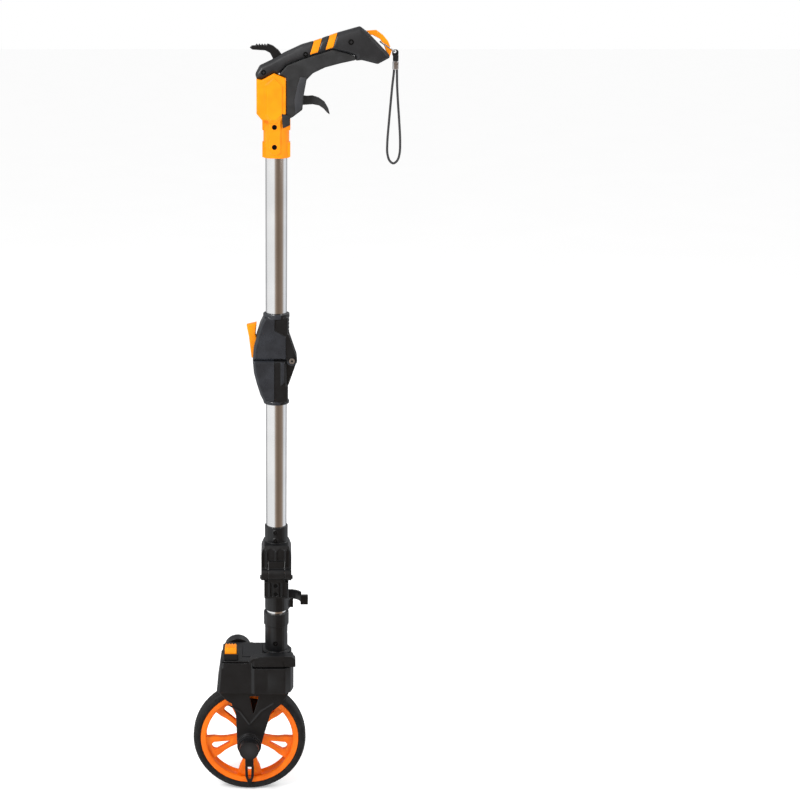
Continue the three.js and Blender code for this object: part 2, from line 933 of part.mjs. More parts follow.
function addResetButton(group, moving) {
  const collar = cut(
    slabZ(
      roundedBox(buttonX[0] - 2.4, buttonX[1] + 2.4, buttonY[0] - 2.4, buttonY[1] + 2.4, 1.5),
      lidHeight + gap,
      lidHeight + 9,
    ),
    box(
      [buttonX[0] - gap, buttonX[1] + gap],
      [buttonY[0] - gap, buttonY[1] + gap],
      [0, far / 4],
    ),
  );
  place(group, "reset_collar", collar, blackPlastic);
  const top = lidHeight + 19;
  const [x0, x1] = buttonX;
  const teeth = [0, 1, 2, 3].flatMap((k) => [
    [x1 - 2 - 4 * k, top],
    [x1 - 4 - 4 * k, top - 2],
  ]);
  const profile = [
    [x0, headTop - 4],
    [x1, headTop - 4],
    [x1, top - 2],
    ...teeth.slice(0, -1),
    [x0, top - 2],
  ];
  place(
    moving,
    "reset_button",
    slabY(profile, buttonY[0], buttonY[1]),
    orangePlastic,
  );
}

function addStemSocket(group) {
  const socket = join(
    pipe(sleeveRadius - 0.4, boreRadius, lidHeight + gap, lidHeight + 41),
    pipe(sleeveRadius + 3, boreRadius, lidHeight + gap, lidHeight + 3.6),
  );
  const screw = rod("y", 2.6, -sleeveRadius - 1, -sleeveRadius + 1.4, [-1.3, lidHeight + 17], 16);
  const sideScrew = rod("x", 2.6, sleeveRadius - 1.4, sleeveRadius + 2, [0, lidHeight + 28], 16);
  place(group, "stem_socket", cut(socket, screw, sideScrew), blackPlastic);
}

// ---- Drive and counter ------------------------------------------------------------------------------

const drivePulley = 6.5;
const counterPulley = 2 * drivePulley;
const beltThickness = 1.4;

function addDriveCover(group) {
  const coverTop = [inputX, 33];
  const beltTop = headTop - 0.4;
  const shape = (grow) => loopAround(hub, 16 + grow, coverTop, 19 + grow);
  const [y0, y1] = [legOuter + gap, legOuter + coverDepth];
  const shell = cut(
    slabY(shape(0), y0 - 2, y1, 2).intersect(box([-far, far], [y0, far], [-far, far])),
    slabY(shape(-2.2), y0 - 1, y1 - 2.4).intersect(box([-far, far], [-far, far], [-far, beltTop])),
  );
  const foot = rod("y", 5, y0, y1 - 6, [hub[0], hub[1] - 18]);
  const clearFoot = slabY(shape(-2.2), y0 - 1, y1 - 2.4);
  const screws = [
    [hub[0] - 12, -34],
    [hub[0] + 4, -38],
  ].map((at) => rod("y", 3, y1 - 1.6, y1 + 1, at, 16));
  place(
    group,
    "drive_cover",
    cut(join(shell, foot.subtract(clearFoot)), ...screws),
    blackPlastic,
  );
}

function addDriveBelt(group) {
  const loop = (grow) =>
    loopAround(hub, drivePulley + grow, inputAt, counterPulley + grow);
  const belt = cut(
    slabY(loop(gap + beltThickness), beltY[0] + 0.4, beltY[1] - 0.4),
    slabY(loop(gap), beltY[0] - 1, beltY[1] + 1),
  );
  place(group, "drive_belt", belt, rubber);
}

function pulley(at, radius) {
  const [y0, y1] = beltY;
  return join(
    rod("y", radius, y0 - 1, y1 + 1, at),
    rod("y", radius + 1.5, y0 - 1.2, y0 - 0.2, at),
    rod("y", radius + 1.5, y1 + 0.2, y1 + 1.2, at),
  );
}

const gearTeeth = 16;
const gearRadius = 12;

// A spur gear about Y. The turn sets its first tooth, counted in teeth.
function gear([x, z], turn, y0, y1) {
  const pitch = (2 * Math.PI) / gearTeeth;
  const outline = [];
  for (let k = 0; k < gearTeeth; k++) {
    const at = (k + turn) * pitch;
    const corners = [
      [-0.3, -1.7],
      [-0.13, 1.2],
      [0.13, 1.2],
      [0.3, -1.7],
    ];
    for (const [share, height] of corners) {
      const r = gearRadius + height;
      const angle = at + share * pitch;
      outline.push([x + r * Math.cos(angle), z + r * Math.sin(angle)]);
    }
  }
  return slabY(outline, y0, y1);
}

const drumPitch = drumWidth + 0.4;
const drumNames = ["tenth", "unit", "ten", "hundred", "thousand"];
const drumEnd = 17.4;
const gearY = [drumEnd + 0.5, drumEnd + 4.5];

function addCounterShaft(group) {
  const shaft = rod("y", 3, gearY[0] - 2, beltY[1] + 1.6, inputAt, 16);
  place(
    group,
    "counter_shaft",
    join(shaft, pulley(inputAt, counterPulley), gear(inputAt, 0, ...gearY)),
    steel,
  );
}

function addDrum(group, index) {
  const y1 = drumEnd - index * drumPitch;
  const y0 = y1 - drumWidth;
  const at = [counterX, counterZ];
  const hole = rod("y", 2.5 + fit, y0 - 1, gearY[1] + 1, at, 16);
  const disc = rod("y", drumRadius, y0, y1, at);
  const half = gearTeeth / 2 + 0.5;
  const whole =
    index > 0
      ? disc
      : join(
          disc,
          gear(at, half, ...gearY),
          rod("y", 6, y1 - 1, gearY[0] + 1, at),
        );
  place(group, drumNames[index] + "_metre_drum", whole.subtract(hole), white);
}

function addCounterFrame(group) {
  const at = [counterX, counterZ];
  place(group, "counter_axle", rod("y", 2.5, -23, 24, at, 16), steel);
  const plate = (y0) =>
    cut(
      box([counterX - 8, counterX + 8], [y0, y0 + 2], [wall + gap, counterZ + 6]),
      rod("y", 2.5 + fit, y0 - 1, y0 + 3, at, 16),
    );
  const base = box(
    [counterX - 8, counterX + 8],
    [-21.5, 24.4],
    [wall + gap, wall + 2.3],
  );
  const frame = join(base, plate(-21.5), plate(22.4));
  place(group, "counter_frame", frame, steel);
}

// ---- Wheel: about its axle ---------------------------------------------------------------------------

const rimDepth = 8.5;
const spokeCount = 5;
const spokeHalf = 4;

function addWheel(group) {
  const w = tyreWidth / 2;
  const tyre = turned(
    [
      [rimRadius + gap, 1 - w],
      [rimRadius + 3.5, -w],
      [tyreRadius - 2.6, 1.4 - w],
      [tyreRadius - 0.4, 4 - w],
      [tyreRadius, 6.5 - w],
      [tyreRadius, w - 6.5],
      [tyreRadius - 0.4, w - 4],
      [tyreRadius - 2.6, w - 1.4],
      [rimRadius + 3.5, w],
      [rimRadius + gap, w - 1],
    ],
    56,
    "y",
  );
  place(group, "tyre", tyre, rubber);

  const inner = rimRadius - rimDepth;
  const band = turned(
    [
      [inner + 3.5, 1 - w],
      [rimRadius, 1 - w],
      [rimRadius, w - 1],
      [inner + 3.5, w - 1],
      [inner, spokeHalf],
      [inner, -spokeHalf],
    ],
    56,
    "y",
  );
  const hubBody = rod("y", 15, 0.8 - legInner, legInner - 0.8, [0, 0], 24);
  const spokes = [];
  const holes = [];
  for (let k = 0; k < spokeCount; k++) {
    const turn = -Math.PI / 2 + (k * 2 * Math.PI) / spokeCount;
    const at = (r, side) => [
      r * Math.cos(turn) - side * Math.sin(turn),
      r * Math.sin(turn) + side * Math.cos(turn),
    ];
    const edge = inner + 2;
    spokes.push(
      slabY(
        [at(8, -7), at(24, -7.5), at(edge, -15), at(edge, 15), at(24, 7.5), at(8, 7)],
        -spokeHalf,
        spokeHalf,
      ),
    );
    const tear = loopAround(at(inner - 27, 0), 1, at(inner - 10, 0), 5.4);
    holes.push(slabY(tear, -w, w));
  }
  const bore = rod("y", 5, -legOuter, legOuter, [0, 0]);
  place(
    group,
    "rim",
    cut(join(band, hubBody, ...spokes), ...holes, bore),
    orangePlastic,
  );

  const axle = join(
    rod("y", 5 - fit, -legInner + 1, legInner - 1, [0, 0]),
    rod("y", 3.6, -legOuter - 6, beltY[1] + 2.6, [0, 0], 20),
  );
  place(group, "axle", axle, steel);
  const drive = pulley([0, 0], drivePulley).subtract(
    rod("y", 3.6 + fit, -far, far, [0, 0], 20),
  );
  place(group, "drive_pulley", drive, blackPlastic);
}

function addHubFittings(group) {
  const bush = (y0, y1) =>
    cut(rod("y", 5, y0, y1, hub, 20), rod("y", 3.6 + fit, y0 - 1, y1 + 1, hub, 20));
  place(group, "axle_bush_near", bush(-legOuter - 3, -legInner - 0.5), steel);
  place(group, "axle_bush_far", bush(legInner + 0.5, legOuter - 0.5), steel);
  const y = -legOuter - 4 - gap;
  const cap = join(
    rod("y", 15, y - 3, y, hub, 24),
    rod("y", 13.6, y - 14, y - 2, hub, 24),
  );
  const hollow = rod("y", 10, y - 11, y + 1, hub, 24);
  place(group, "hub_cap", cap.subtract(hollow), blackPlastic);
}

function addPointer(group) {
  const [hx, hz] = hub;
  const top = hz - 25;
  const tip = 5.5 - headZ;
  const outline = [
    [hx - 5, top],
    [hx + 5, top],
    [hx + 5.4, top - 12],
    [hx + 6.4, top - 18],
    [hx + 6, tip + 16],
    [hx + 3.4, tip + 9],
    [hx + 2.4, tip + 2],
    [hx, tip],
    [hx - 2.4, tip + 2],
    [hx - 3.4, tip + 9],
    [hx - 6, tip + 16],
    [hx - 6.4, top - 18],
    [hx - 5.4, top - 12],
  ];
  const eye = loopAround([hx, top - 17], 2.7, [hx, tip + 14], 2);
  const [y0, y1] = [-legInner - 0.2, -legInner + 2.2];
  const screwHole = rod("y", 1.7, y0 - 1, y1 + 1, [hx, top - 5], 12);
  place(
    group,
    "ground_pointer",
    cut(slabY(outline, y0 + 0.5, y1), slabY(eye, y0 - 1, y1 + 1), screwHole),
    blackPlastic,
  );
}

// ---- Storage clip: heights from its lower edge, about the stem's axis ---------------------------------

function addStorageClip(group) {
  const inner = tubeRadius + 0.5;
  const outer = inner + 3;
  const ringOuter = tubeRadius + 3.4;
  const mouth = THREE.MathUtils.degToRad(-100);
  const half = THREE.MathUtils.degToRad(50);
  const arcFrom = mouth + half;
  const arcTo = mouth - half + 2 * Math.PI;
  const ring = pipe(ringOuter, tubeRadius + gap, 0, clipHeight);
  const jaw = new THREE.Shape();
  jaw.absarc(clipReach, 0, outer, arcFrom, arcTo, false);
  jaw.absarc(clipReach, 0, inner, arcTo, arcFrom, true);
  const [z0, z1] = [(clipHeight - 14) / 2, (clipHeight + 14) / 2];
  const lipDrop = 5;
  const lipTurn = -73;
  const arm = cut(
    box([ringOuter - 1.5, clipReach - inner - 1], [-4.5, 4.5], [z0, z1]),
    rod("z", tubeRadius + gap, -1, clipHeight + 1, [0, 0], 24),
  );
  const end = outer - 1.5;
  const tip = [clipReach + end * Math.cos(arcFrom), end * Math.sin(arcFrom)];
  const lip = box([-0.4, 10.6], [-2.2, 3.8], [z0 - lipDrop, z1 - lipDrop])
    .rotate([0, 0, lipTurn])
    .translate([tip[0], tip[1], 0]);
  const clip = join(ring, slabZ(jaw, z0, z1), arm, lip);
  place(group, "storage_clip", clip, blackPlastic);
}

// ---- Assembly -----------------------------------------------------------------------------------------

function level(parent, x, z) {
  const group = new THREE.Group();
  group.position.set(x, 0, z);
  parent.add(group);
  return group;
}

const part = new THREE.Group();
const ground = level(part, -gripPoint.x, -(neckZ + gripPoint.z));
const neck = level(ground, 0, neckZ);
const pole = level(ground, 0, polePinZ);
const stemHinge = level(ground, 0, stemPinZ);
const head = level(ground, 0, headZ);
const wheel = level(ground, -axleTrail, tyreRadius);

addHandle(neck);
addTrigger(neck);
addThumbLever(neck);
addNeck(neck);
addLanyard(neck);
addTube(ground, "upper_tube", polePinZ + tubeInset, neckZ + neckHeight);
addPoleHingeUpper(pole);
addHingeLever(pole);
addPoleHingeLower(pole);
addTube(ground, "middle_tube", stemPinZ + 33, polePinZ - tubeInset);
addStemHingeUpper(stemHinge);
addLatch(stemHinge);
addStemHingeLower(stemHinge);
addTube(ground, "stem_tube", headZ + wall + 2.4, stemPinZ - 33);
addHousing(head);
addLid(head);
addResetButton(head, head);
addStemSocket(head);
addDriveCover(head);
addDriveBelt(head);
addCounterShaft(head);
addCounterFrame(head);
for (let k = 0; k < drumNames.length; k++) addDrum(head, k);
addHubFittings(head);
addPointer(head);
addWheel(wheel);

const clip = level(head, 0, lidHeight + 41 + gap);
clip.rotation.z = THREE.MathUtils.degToRad(clipRestAngle);
addStorageClip(clip);

export default part;
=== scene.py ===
"""Looks for a folding measuring wheel. Everything is in metres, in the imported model's frame."""

import json
import math

import bmesh
import bpy
from mathutils import Matrix, Vector


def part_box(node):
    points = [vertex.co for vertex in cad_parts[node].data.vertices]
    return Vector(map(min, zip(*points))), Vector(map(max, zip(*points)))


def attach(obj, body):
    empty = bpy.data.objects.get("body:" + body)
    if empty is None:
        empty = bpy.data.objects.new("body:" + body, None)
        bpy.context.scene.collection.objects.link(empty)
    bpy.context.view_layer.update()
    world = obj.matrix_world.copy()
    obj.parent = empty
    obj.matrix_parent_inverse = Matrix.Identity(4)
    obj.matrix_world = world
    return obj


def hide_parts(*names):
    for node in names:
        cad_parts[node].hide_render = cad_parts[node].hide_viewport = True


MM = 0.001
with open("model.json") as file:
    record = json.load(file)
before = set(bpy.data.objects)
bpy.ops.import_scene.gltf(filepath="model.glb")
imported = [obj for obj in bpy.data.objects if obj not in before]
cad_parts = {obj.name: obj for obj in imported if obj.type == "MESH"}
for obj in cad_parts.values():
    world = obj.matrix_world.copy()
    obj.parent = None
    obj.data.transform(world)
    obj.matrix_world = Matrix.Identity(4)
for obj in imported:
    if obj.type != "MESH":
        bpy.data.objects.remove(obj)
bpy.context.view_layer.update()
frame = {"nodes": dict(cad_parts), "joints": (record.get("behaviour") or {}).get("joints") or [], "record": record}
nodes = frame["nodes"]
body_of = {
    node: body
    for body, members in frame["record"]["behaviour"]["bodies"].items()
    for node in members
}
slot_of = {s["node"]: s["material_slot"] for s in frame["record"]["subparts"]}
joints = {j["name"]: j for j in frame["joints"]}


def joint_at(name):
    return Vector(joints[name]["pos_m"])


# Places that the pieces below are set out from
AXLE = joint_at("wheel_spin")
POLE_PIN = joint_at("pole_fold")
STEM_PIN = joint_at("wheel_fold")
POLE_X = STEM_PIN.x
NECK_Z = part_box("neck_shell_near")[0].z
HEAD_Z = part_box("counter_lid")[0].z - 38.3 * MM
TYRE_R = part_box("tyre")[1].x - AXLE.x
TYRE_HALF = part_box("tyre")[1].y
TUBE_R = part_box("middle_tube")[1].y


def at(x, y, z, level=0.0):
    """A point given in millimetres from the pole's axis, above a level that is in metres."""
    return Vector((POLE_X + x * MM, y * MM, level + z * MM))


# ---- Materials ------------------------------------------------------------------------------------


def new_material(name, colour, roughness, metallic=0.0, **sockets):
    material = bpy.data.materials.new(name)
    material.use_nodes = True
    shader = material.node_tree.nodes["Principled BSDF"]
    shader.inputs["Base Color"].default_value = (*colour, 1)
    shader.inputs["Roughness"].default_value = roughness
    shader.inputs["Metallic"].default_value = metallic
    for socket, value in sockets.items():
        shader.inputs[socket.replace("_", " ")].default_value = value
    return material


class Painter:
    """Adds nodes to one material, all driven by the object's own coordinates."""

    def __init__(self, material):
        self.tree = material.node_tree
        self.shader = self.tree.nodes["Principled BSDF"]
        self.coords = self.add("ShaderNodeTexCoord").outputs["Object"]
        self.height = None

    def add(self, kind, **properties):
        node = self.tree.nodes.new(kind)
        for key, value in properties.items():
            setattr(node, key, value)
        return node

    def link(self, output, socket):
        self.tree.links.new(output, socket)

    def stretched(self, scale):
        mapping = self.add("ShaderNodeMapping")
        mapping.inputs["Scale"].default_value = scale
        self.link(self.coords, mapping.inputs["Vector"])
        return mapping.outputs["Vector"]

    def noise(self, size, detail=2.0, stretch=None):
        """Noise whose features are about this size, in metres."""
        node = self.add("ShaderNodeTexNoise")
        node.inputs["Scale"].default_value = 1 / size
        node.inputs["Detail"].default_value = detail
        self.link(self.stretched(stretch) if stretch else self.coords, node.inputs["Vector"])
        return node.outputs["Fac"]

    def cells(self, size):
        node = self.add("ShaderNodeTexVoronoi", feature="F1")
        node.inputs["Scale"].default_value = 1 / size
        self.link(self.coords, node.inputs["Vector"])
        return node.outputs["Distance"]

    def ramp(self, factor, low, high, start=0.35, end=0.65):
        node = self.add("ShaderNodeValToRGB")
        for stop, place, colour in zip(node.color_ramp.elements, (start, end), (low, high)):
            stop.position = place
            stop.color = (*colour, 1)
        self.link(factor, node.inputs["Fac"])
        return node.outputs["Color"]

    def spread(self, factor, low, high):
        node = self.add("ShaderNodeMapRange")
        node.inputs["From Min"].default_value = 0.3
        node.inputs["From Max"].default_value = 0.7
        node.inputs["To Min"].default_value = low
        node.inputs["To Max"].default_value = high
        self.link(factor, node.inputs["Value"])
        return node.outputs["Result"]

    def bump(self, height, depth, strength=1.0):
        node = self.add("ShaderNodeBump")
        node.inputs["Strength"].default_value = strength
        node.inputs["Distance"].default_value = depth
        self.link(height, node.inputs["Height"])
        if self.height is not None:
            self.link(self.height, node.inputs["Normal"])
        self.height = node.outputs["Normal"]
        self.link(self.height, self.shader.inputs["Normal"])

    def colour(self, output):
        self.link(output, self.shader.inputs["Base Color"])

    def rough(self, output):
        self.link(output, self.shader.inputs["Roughness"])

    def mix(self, factor, low, high):
        node = self.add("ShaderNodeMix", data_type="RGBA")
        self.link(factor, node.inputs["Factor"])
        for value, socket in ((low, node.inputs[6]), (high, node.inputs[7])):
            if isinstance(value, tuple):
                socket.default_value = (*value, 1)
            else:
                self.link(value, socket)
        return node.outputs[2]

    def rubbed_and_highlit_edges(self, colour, rubbed_highlight, strength=0.5):
        """Lightens convex edges a little: wear where hands and ground rub, and a painted edge highlight that adds
        contrast in shade.
        """
        geometry = self.add("ShaderNodeNewGeometry")
        mask = self.add("ShaderNodeMapRange")
        mask.inputs["From Min"].default_value = 0.52
        mask.inputs["From Max"].default_value = 0.62
        mask.inputs["To Max"].default_value = strength
        self.link(geometry.outputs["Pointiness"], mask.inputs["Value"])
        return self.mix(mask.outputs["Result"], colour, rubbed_highlight)


def moulded(name, colour, dark, rubbed_highlight, grain, roughness, coat=0.0, shine=0.5):
    """Moulded plastic: a fine spark-eroded grain, slightly uneven gloss and paler edges, partly rubbed wear and
    partly a painted highlight.
    """
    material = new_material(
        name, colour, roughness, Coat_Weight=coat, Coat_Roughness=0.25, Specular_IOR_Level=shine
    )
    p = Painter(material)
    tone = p.ramp(p.noise(18 * MM), dark, colour)
    # Paler convex edges: rubbed wear together with a painted edge highlight.
    p.colour(p.rubbed_and_highlit_edges(tone, rubbed_highlight))
    p.rough(p.spread(p.noise(7 * MM, 4), roughness - 0.05, roughness + 0.07))
    p.bump(p.noise(grain, 3), 0.05 * MM, 0.5)
    return material


def make_tube_metal():
    material = new_material("satin_aluminium", (0.9, 0.9, 0.9), 0.17, 1.0, Anisotropic=0.3)
    p = Painter(material)
    streaks = p.noise(1.1 * MM, 2, stretch=(1, 1, 0.02))
    p.colour(p.ramp(p.noise(40 * MM), (0.86, 0.865, 0.87), (0.94, 0.94, 0.94)))
    p.rough(p.spread(streaks, 0.13, 0.2))
    p.bump(streaks, 0.004 * MM, 0.2)
    return material


def make_steel(name, colour, roughness):
    material = new_material(name, colour, roughness, 1.0)
    p = Painter(material)
    p.rough(p.spread(p.noise(1.5 * MM, 3), roughness - 0.06, roughness + 0.1))
    p.bump(p.noise(0.6 * MM, 2), 0.01 * MM, 0.4)
    return material


def make_rubber(name, colour, dust, roughness):
    material = new_material(name, colour, roughness, Sheen_Weight=0.03, Specular_IOR_Level=0.3)
    p = Painter(material)
    p.colour(p.ramp(p.noise(9 * MM, 5), colour, dust, 0.4, 0.85))
    p.rough(p.spread(p.noise(4 * MM, 3), roughness - 0.06, roughness + 0.08))
    p.bump(p.noise(0.35 * MM, 3), 0.05 * MM, 0.5)
    return material


def make_grip_rubber():
    look = {"Sheen_Weight": 0.06, "Specular_IOR_Level": 0.4}
    material = new_material("soft_grip", (0.02, 0.02, 0.021), 0.62, **look)
    p = Painter(material)
    p.colour(p.ramp(p.noise(14 * MM), (0.015, 0.0152, 0.016), (0.024, 0.0244, 0.026)))
    p.rough(p.spread(p.noise(5 * MM, 3), 0.56, 0.7))
    p.bump(p.cells(0.55 * MM), 0.05 * MM, 0.35)
    return material


def make_braid():
    material = new_material("braided_cord", (0.022, 0.022, 0.024), 0.8, Sheen_Weight=0.3)
    p = Painter(material)
    wave = p.add("ShaderNodeTexWave", wave_type="BANDS", bands_direction="DIAGONAL")
    wave.inputs["Scale"].default_value = 1 / (1.4 * MM) / 20
    wave.inputs["Distortion"].default_value = 1.5
    p.link(p.stretched((20, 20, 20)), wave.inputs["Vector"])
    p.colour(p.ramp(wave.outputs["Fac"], (0.012, 0.012, 0.013), (0.04, 0.04, 0.043)))
    p.bump(wave.outputs["Fac"], 0.15 * MM, 0.8)
    return material


def make_lens():
    material = new_material("smoked_lens", (0.01, 0.0105, 0.012), 0.12, Specular_IOR_Level=0.3)
    p = Painter(material)
    p.rough(p.spread(p.noise(6 * MM, 3), 0.05, 0.12))
    return material


# name, colour, darker patches, rubbed edges with painted highlight, grain, roughness, coat, specular level
CHARCOAL = moulded(
    "charcoal_plastic", (0.0075, 0.0078, 0.0088), (0.0055, 0.0058, 0.0066), (0.04, 0.04, 0.043),
    0.45 * MM, 0.34, 0.0, 0.42,
)
HANDLE_BLACK = moulded(
    "handle_plastic", (0.021, 0.0215, 0.0235), (0.016, 0.0165, 0.0185), (0.05, 0.05, 0.055),
    0.4 * MM, 0.36, 0.0, 0.42,
)
ORANGE = moulded(
    "orange_plastic", (1.0, 0.31, 0.002), (0.94, 0.26, 0.0015), (1.0, 0.42, 0.02),
    0.5 * MM, 0.36, 0.0, 0.2,
)
RIM_ORANGE = moulded(
    "rim_plastic", (0.93, 0.175, 0.0008), (0.84, 0.14, 0.0006), (1.0, 0.26, 0.006),
    0.6 * MM, 0.36, 0.0, 0.22,
)
TYRE_BLACK = make_rubber("tyre_rubber", (0.0075, 0.0075, 0.008), (0.018, 0.0175, 0.017), 0.62)
GRIP = make_grip_rubber()
TUBE = make_tube_metal()
STEEL = make_steel("pin_steel", (0.6, 0.6, 0.61), 0.28)
SCREW_BLACK = moulded(
    "black_screws", (0.002, 0.002, 0.002), (0.0015, 0.0015, 0.0015), (0.03, 0.03, 0.032),
    0.3 * MM, 0.42, 0.0, 0.12,
)
BRAID = make_braid()
LENS = make_lens()
HOUSING = moulded(
    "housing_plastic", (0.034, 0.036, 0.042), (0.028, 0.03, 0.035), (0.08, 0.08, 0.085),
    0.5 * MM, 0.45, 0.0, 0.5,
)
DRUM = moulded("drum_white", (0.8, 0.79, 0.76), (0.74, 0.73, 0.7), (0.85, 0.85, 0.83), 0.6 * MM, 0.45)

HINGE_BLACK = moulded(
    "hinge_plastic", (0.026, 0.029, 0.036), (0.017, 0.019, 0.024), (0.06, 0.06, 0.065),
    0.4 * MM, 0.3, 0.0, 0.5,
)

MATERIAL_OF_SLOT = {
    "handle_plastic": HANDLE_BLACK,
    "soft_grip": GRIP,
    "orange_plastic": ORANGE,
    "rim_plastic": RIM_ORANGE,
    "tyre_rubber": TYRE_BLACK,
    "tube_aluminium": TUBE,
    "steel": STEEL,
    "lens": LENS,
    "drum_white": DRUM,
    "cord": BRAID,
    "body_plastic": CHARCOAL,
}


# ---- Mesh tools -------------------------------------------------------------------------------------


def add_object(name, mesh, material, body):
    for polygon in mesh.polygons:
        polygon.use_smooth = True
    piece = bpy.data.objects.new(name, mesh)
    bpy.context.scene.collection.objects.link(piece)
    mesh.materials.clear()
    mesh.materials.append(material)
    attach(piece, body)
    return piece


def modified(piece, modifiers):
    """Applies a list of (kind, settings) modifiers to the piece's mesh."""
    for kind, settings in modifiers:
        modifier = piece.modifiers.new(kind, kind)
        for key, value in settings.items():
            setattr(modifier, key, value)
    depsgraph = bpy.context.evaluated_depsgraph_get()
    depsgraph.update()
    mesh = bpy.data.meshes.new_from_object(piece.evaluated_get(depsgraph))
    piece.modifiers.clear()
    piece.data = mesh
    return piece


GROUND = AXLE.z - TYRE_R


def here(x, y, z):
    """A point in millimetres from the pole's axis and above the ground."""
    return at(x, y, z, GROUND)


def closed(name, rings):
    """A closed mesh through rings of points, capped at both ends."""
    bm = bmesh.new()
    loops = [[bm.verts.new(point) for point in ring] for ring in rings]
    for low, high in zip(loops, loops[1:]):
        for i in range(len(low)):
            j = (i + 1) % len(low)
            bm.faces.new((low[i], low[j], high[j], high[i]))
    bm.faces.new(list(reversed(loops[0])))
    bm.faces.new(loops[-1])
    bmesh.ops.recalc_face_normals(bm, faces=bm.faces)
    mesh = bpy.data.meshes.new(name)
    bm.to_mesh(mesh)
    bm.free()
    return mesh


def front_prism(outline, y0, y1):
    """A prism along Y from an outline of (x, z) in millimetres."""
    return closed("prism", [[here(x, y, z) for x, z in outline] for y in (y0, y1)])


def block(x0, x1, y0, y1, z0, z1):
    return front_prism([(x0, z0), (x1, z0), (x1, z1), (x0, z1)], y0, y1)


def bar(start, end, radius, sides=10):
    """A round bar between two points in millimetres."""
    a, b = here(*start), here(*end)
    along = (b - a).normalized()
    side = along.orthogonal().normalized()
    up = along.cross(side)
    turns = [2 * math.pi * k / sides for k in range(sides)]
    ring = [(side * math.cos(t) + up * math.sin(t)) * radius * MM for t in turns]
    return closed("bar", [[a + r for r in ring], [b + r for r in ring]])


def barrel(x, z, radius, y0, y1, sides=48):
    turns = [2 * math.pi * k / sides for k in range(sides)]
    outline = [(x + radius * math.cos(t), z + radius * math.sin(t)) for t in turns]
    return front_prism(outline, y0, y1)


def mirrored(meshes):
    """The meshes and their copies on the other side of the middle plane."""
    out = []
    for mesh in meshes:
        copy = mesh.copy()
        copy.transform(Matrix.Scale(-1, 4, (0, 1, 0)))
        copy.flip_normals()
        out += [mesh, copy]
    return out


def soften(node, voxel, passes, add=(), take=(), push=None):
    """The CAD node's shape with its mould details and with its edges rounded as a mould rounds them."""
    mesh = nodes[node].data.copy()
    slot = slot_of[node]
    piece = add_object(node + "_skin", mesh, MATERIAL_OF_SLOT[slot], body_of[node])
    modified(piece, [("WELD", {"merge_threshold": 1e-6})])
    boolean(piece, take, "DIFFERENCE")
    if add:
        bm = bmesh.new()
        bm.from_mesh(piece.data)
        for mesh in add:
            bm.from_mesh(mesh)
        bm.to_mesh(piece.data)
        bm.free()
    modified(
        piece,
        [
            ("REMESH", {"mode": "VOXEL", "voxel_size": voxel, "use_smooth_shade": True}),
            ("SMOOTH", {"factor": 0.5, "iterations": passes}),
        ],
    )
    if push:
        for vertex in piece.data.vertices:
            vertex.co = push(vertex.co)
    piece.data.materials.clear()
    piece.data.materials.append(HINGE_BLACK if node.startswith("pole_hinge") else MATERIAL_OF_SLOT[slot])
    shallow = (HINGE_HALF - 0.8) * MM if node.startswith("pole_hinge") else 0
    if shallow:
        piece.data.materials.append(CHARCOAL)
    for polygon in piece.data.polygons:
        polygon.use_smooth = True
        inside = shallow and abs(polygon.center.y) < shallow and polygon.center.x > POLE_X - 3 * MM
        polygon.material_index = int(inside)
    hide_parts(node)
    return piece


def turned(profile, sides, centre, axis="Z"):
    """A mesh that is turned from a closed profile of (radius, height), in metres."""
    bm = bmesh.new()
    turn = {
        "Z": Matrix.Identity(4),
        "Y": Matrix.Rotation(-math.pi / 2, 4, "X"),
        "X": Matrix.Rotation(math.pi / 2, 4, "Y"),
    }
    place = Matrix.Translation(centre) @ turn[axis]
    rings = []
    for k in range(sides):
        angle = 2 * math.pi * k / sides
        c, s = math.cos(angle), math.sin(angle)
        rings.append([bm.verts.new(place @ Vector((r * c, r * s, h))) for r, h in profile])
    count = len(profile)
    for k in range(sides):
        here, there = rings[k], rings[(k + 1) % sides]
        for i in range(count):
            j = (i + 1) % count
            bm.faces.new((here[i], there[i], there[j], here[j]))
    bmesh.ops.recalc_face_normals(bm, faces=bm.faces)
    mesh = bpy.data.meshes.new("turned")
    bm.to_mesh(mesh)
    bm.free()
    return mesh


def rounded_profile(points, radius, steps=3):
    """A closed profile whose corners are rounded by this radius."""
    out = []
    count = len(points)
    for i, p in enumerate(points):
        p = Vector(p)
        before, after = Vector(points[i - 1]), Vector(points[(i + 1) % count])
        a, b = (before - p), (after - p)
        reach = min(radius, a.length * 0.45, b.length * 0.45)
        start, end = p + a.normalized() * reach, p + b.normalized() * reach
        for k in range(steps + 1):
            t = k / steps
            out.append(tuple((1 - t) ** 2 * start + 2 * t * (1 - t) * p + t * t * end))
    return out


def ring_profile(inner, outer, low, high, radius=0.3 * MM):
    corners = [(inner, low), (outer, low), (outer, high), (inner, high)]
    return rounded_profile(corners, radius)


